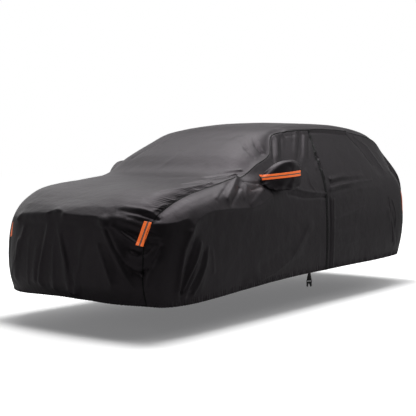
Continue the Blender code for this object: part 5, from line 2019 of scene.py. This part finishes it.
@dataclass(frozen=True)
class Studio:
    """Pale floor, soft lamps over and behind the cover, and the camera."""

    eye: tuple[float, float, float] = (5.24514, -7.89354, -0.39699)
    ahead: tuple[float, float, float] = (-0.60883, 0.79161, -0.05176)
    lens: float = 77.614
    sensor: float = 36.0
    sight: float = 300.0
    floor_half: float = 60.0
    aim: tuple[float, float, float] = (0.0, 0.0, -1.0)
    white: tuple[float, float, float] = (1.0, 1.0, 1.0)
    world: float = 0.004

    def build(self) -> None:
        """Make the floor, lights, world and camera."""
        self._floor()
        for lamp in LAMPS:
            self._lamp(lamp)
        self._world()
        self._camera()

    @staticmethod
    def _put(name: str, data: Any, place: Sequence[float], ahead: Vector) -> Any:
        """Link a lamp or camera.

        Args:
            name: Its name.
            data: Its data.
            place: Where it stands.
            ahead: Which way it looks.

        Returns:
            The object.
        """
        made = bpy.data.objects.new(name, data)
        made.location = place
        made.rotation_mode = "QUATERNION"
        made.rotation_quaternion = ahead.to_track_quat("-Z", "Y")
        bpy.context.scene.collection.objects.link(made)
        return made

    def _floor(self) -> None:
        """Make the floor, which is part of the stage."""
        made = bmesh.new()
        bmesh.ops.create_grid(made, x_segments=2, y_segments=2, size=self.floor_half)
        bmesh.ops.translate(made, verts=made.verts[:], vec=(0, 0, -HELD[2]))
        floor = bpy.data.objects.new("floor", mesh_from(made, "floor"))
        floor.data.materials.append(FloorFinish().material())
        bpy.context.scene.collection.objects.link(floor)

    def _lamp(self, lamp: Lamp) -> None:
        """Make a lamp that the camera doesn't see.

        Args:
            lamp: Its row of the table.
        """
        data = bpy.data.lights.new(lamp.name, "AREA")
        data.shape = "RECTANGLE"
        data.size, data.size_y = lamp.size
        data.energy = lamp.power
        made = self._put(lamp.name, data, lamp.place, Vector(self.aim) - Vector(lamp.place))
        made.visible_camera = False

    def _world(self) -> None:
        """Make a dim even world that the camera sees as white."""
        shader = Shader(bpy.data.worlds.new("studio"))
        shader.tree.nodes.remove(shader.tree.nodes["Background"])
        dim, seen = (shader.node("ShaderNodeBackground", {},
                                 {"Color": self.white, "Strength": power})
                     for power in (self.world, 1.0))
        split_rays(shader, dim, seen, "World Output")
        bpy.context.scene.world = shader.owner

    def _camera(self) -> None:
        """Make the camera at the photograph's angle."""
        data = bpy.data.cameras.new("camera")
        data.sensor_width = self.sensor
        data.lens = self.lens
        data.clip_end = self.sight
        bpy.context.scene.camera = self._put("camera", data, self.eye, Vector(self.ahead))
        bpy.context.scene.view_settings.view_transform = "Standard"


def build_cover() -> None:
    """Make every piece of the cover in order."""
    form = CoverForm()
    cloth = ClothFinish().material()
    tape = TapeFinish().material()
    # the seam tape is darker and duller than the cloth: partly its own colour, partly painted shade
    # of the seam's groove
    seam = TapeFinish(name="seam tape", colour=(0.0055, 0.0052, 0.0057), roughness=0.65,
                      rib=0.0022, glint=0.22).material()
    moulded = MouldedFinish().material()
    strip = StripFinish().material()
    plan = ClothBody(form, cloth).plan()
    panels = {key: panel.build() for key, panel in plan.items()}
    for flank in Flank:
        side = SidePanel("side_lines", (), form=form, flank=flank, material=cloth)
        SeamRidge("shoulder_seam_" + flank.name.lower(), flank, plan["centre"], side, seam).build()
        sided = [panels["front"], panels["rear"]] if flank is Flank.ZIP else [panels["plain"]]
        pocket = MirrorPocket(flank, sided[0], cloth).build()
        hosts = (panels["centre"], pocket, *sided)
        below = {"strip_nose": hosts[0], "strip_mirror": pocket, "strip_tail": hosts[-1]}
        for row in STRIPS:
            ReflectiveStrip(row, flank, hosts, below[row.node].name, strip).build()
    whole = SidePanel("zip_line", (), form=form, flank=Flank.ZIP, material=cloth)
    SideZip(whole, tape, moulded).build()
    HemStrap(tape, moulded).build()


def main() -> None:
    """Build the cover, then the studio around it."""
    logging.basicConfig(level=logging.INFO, format="%(name)s %(message)s")
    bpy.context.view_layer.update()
    build_cover()
    Studio().build()


if __name__ == "__main__":
    main()
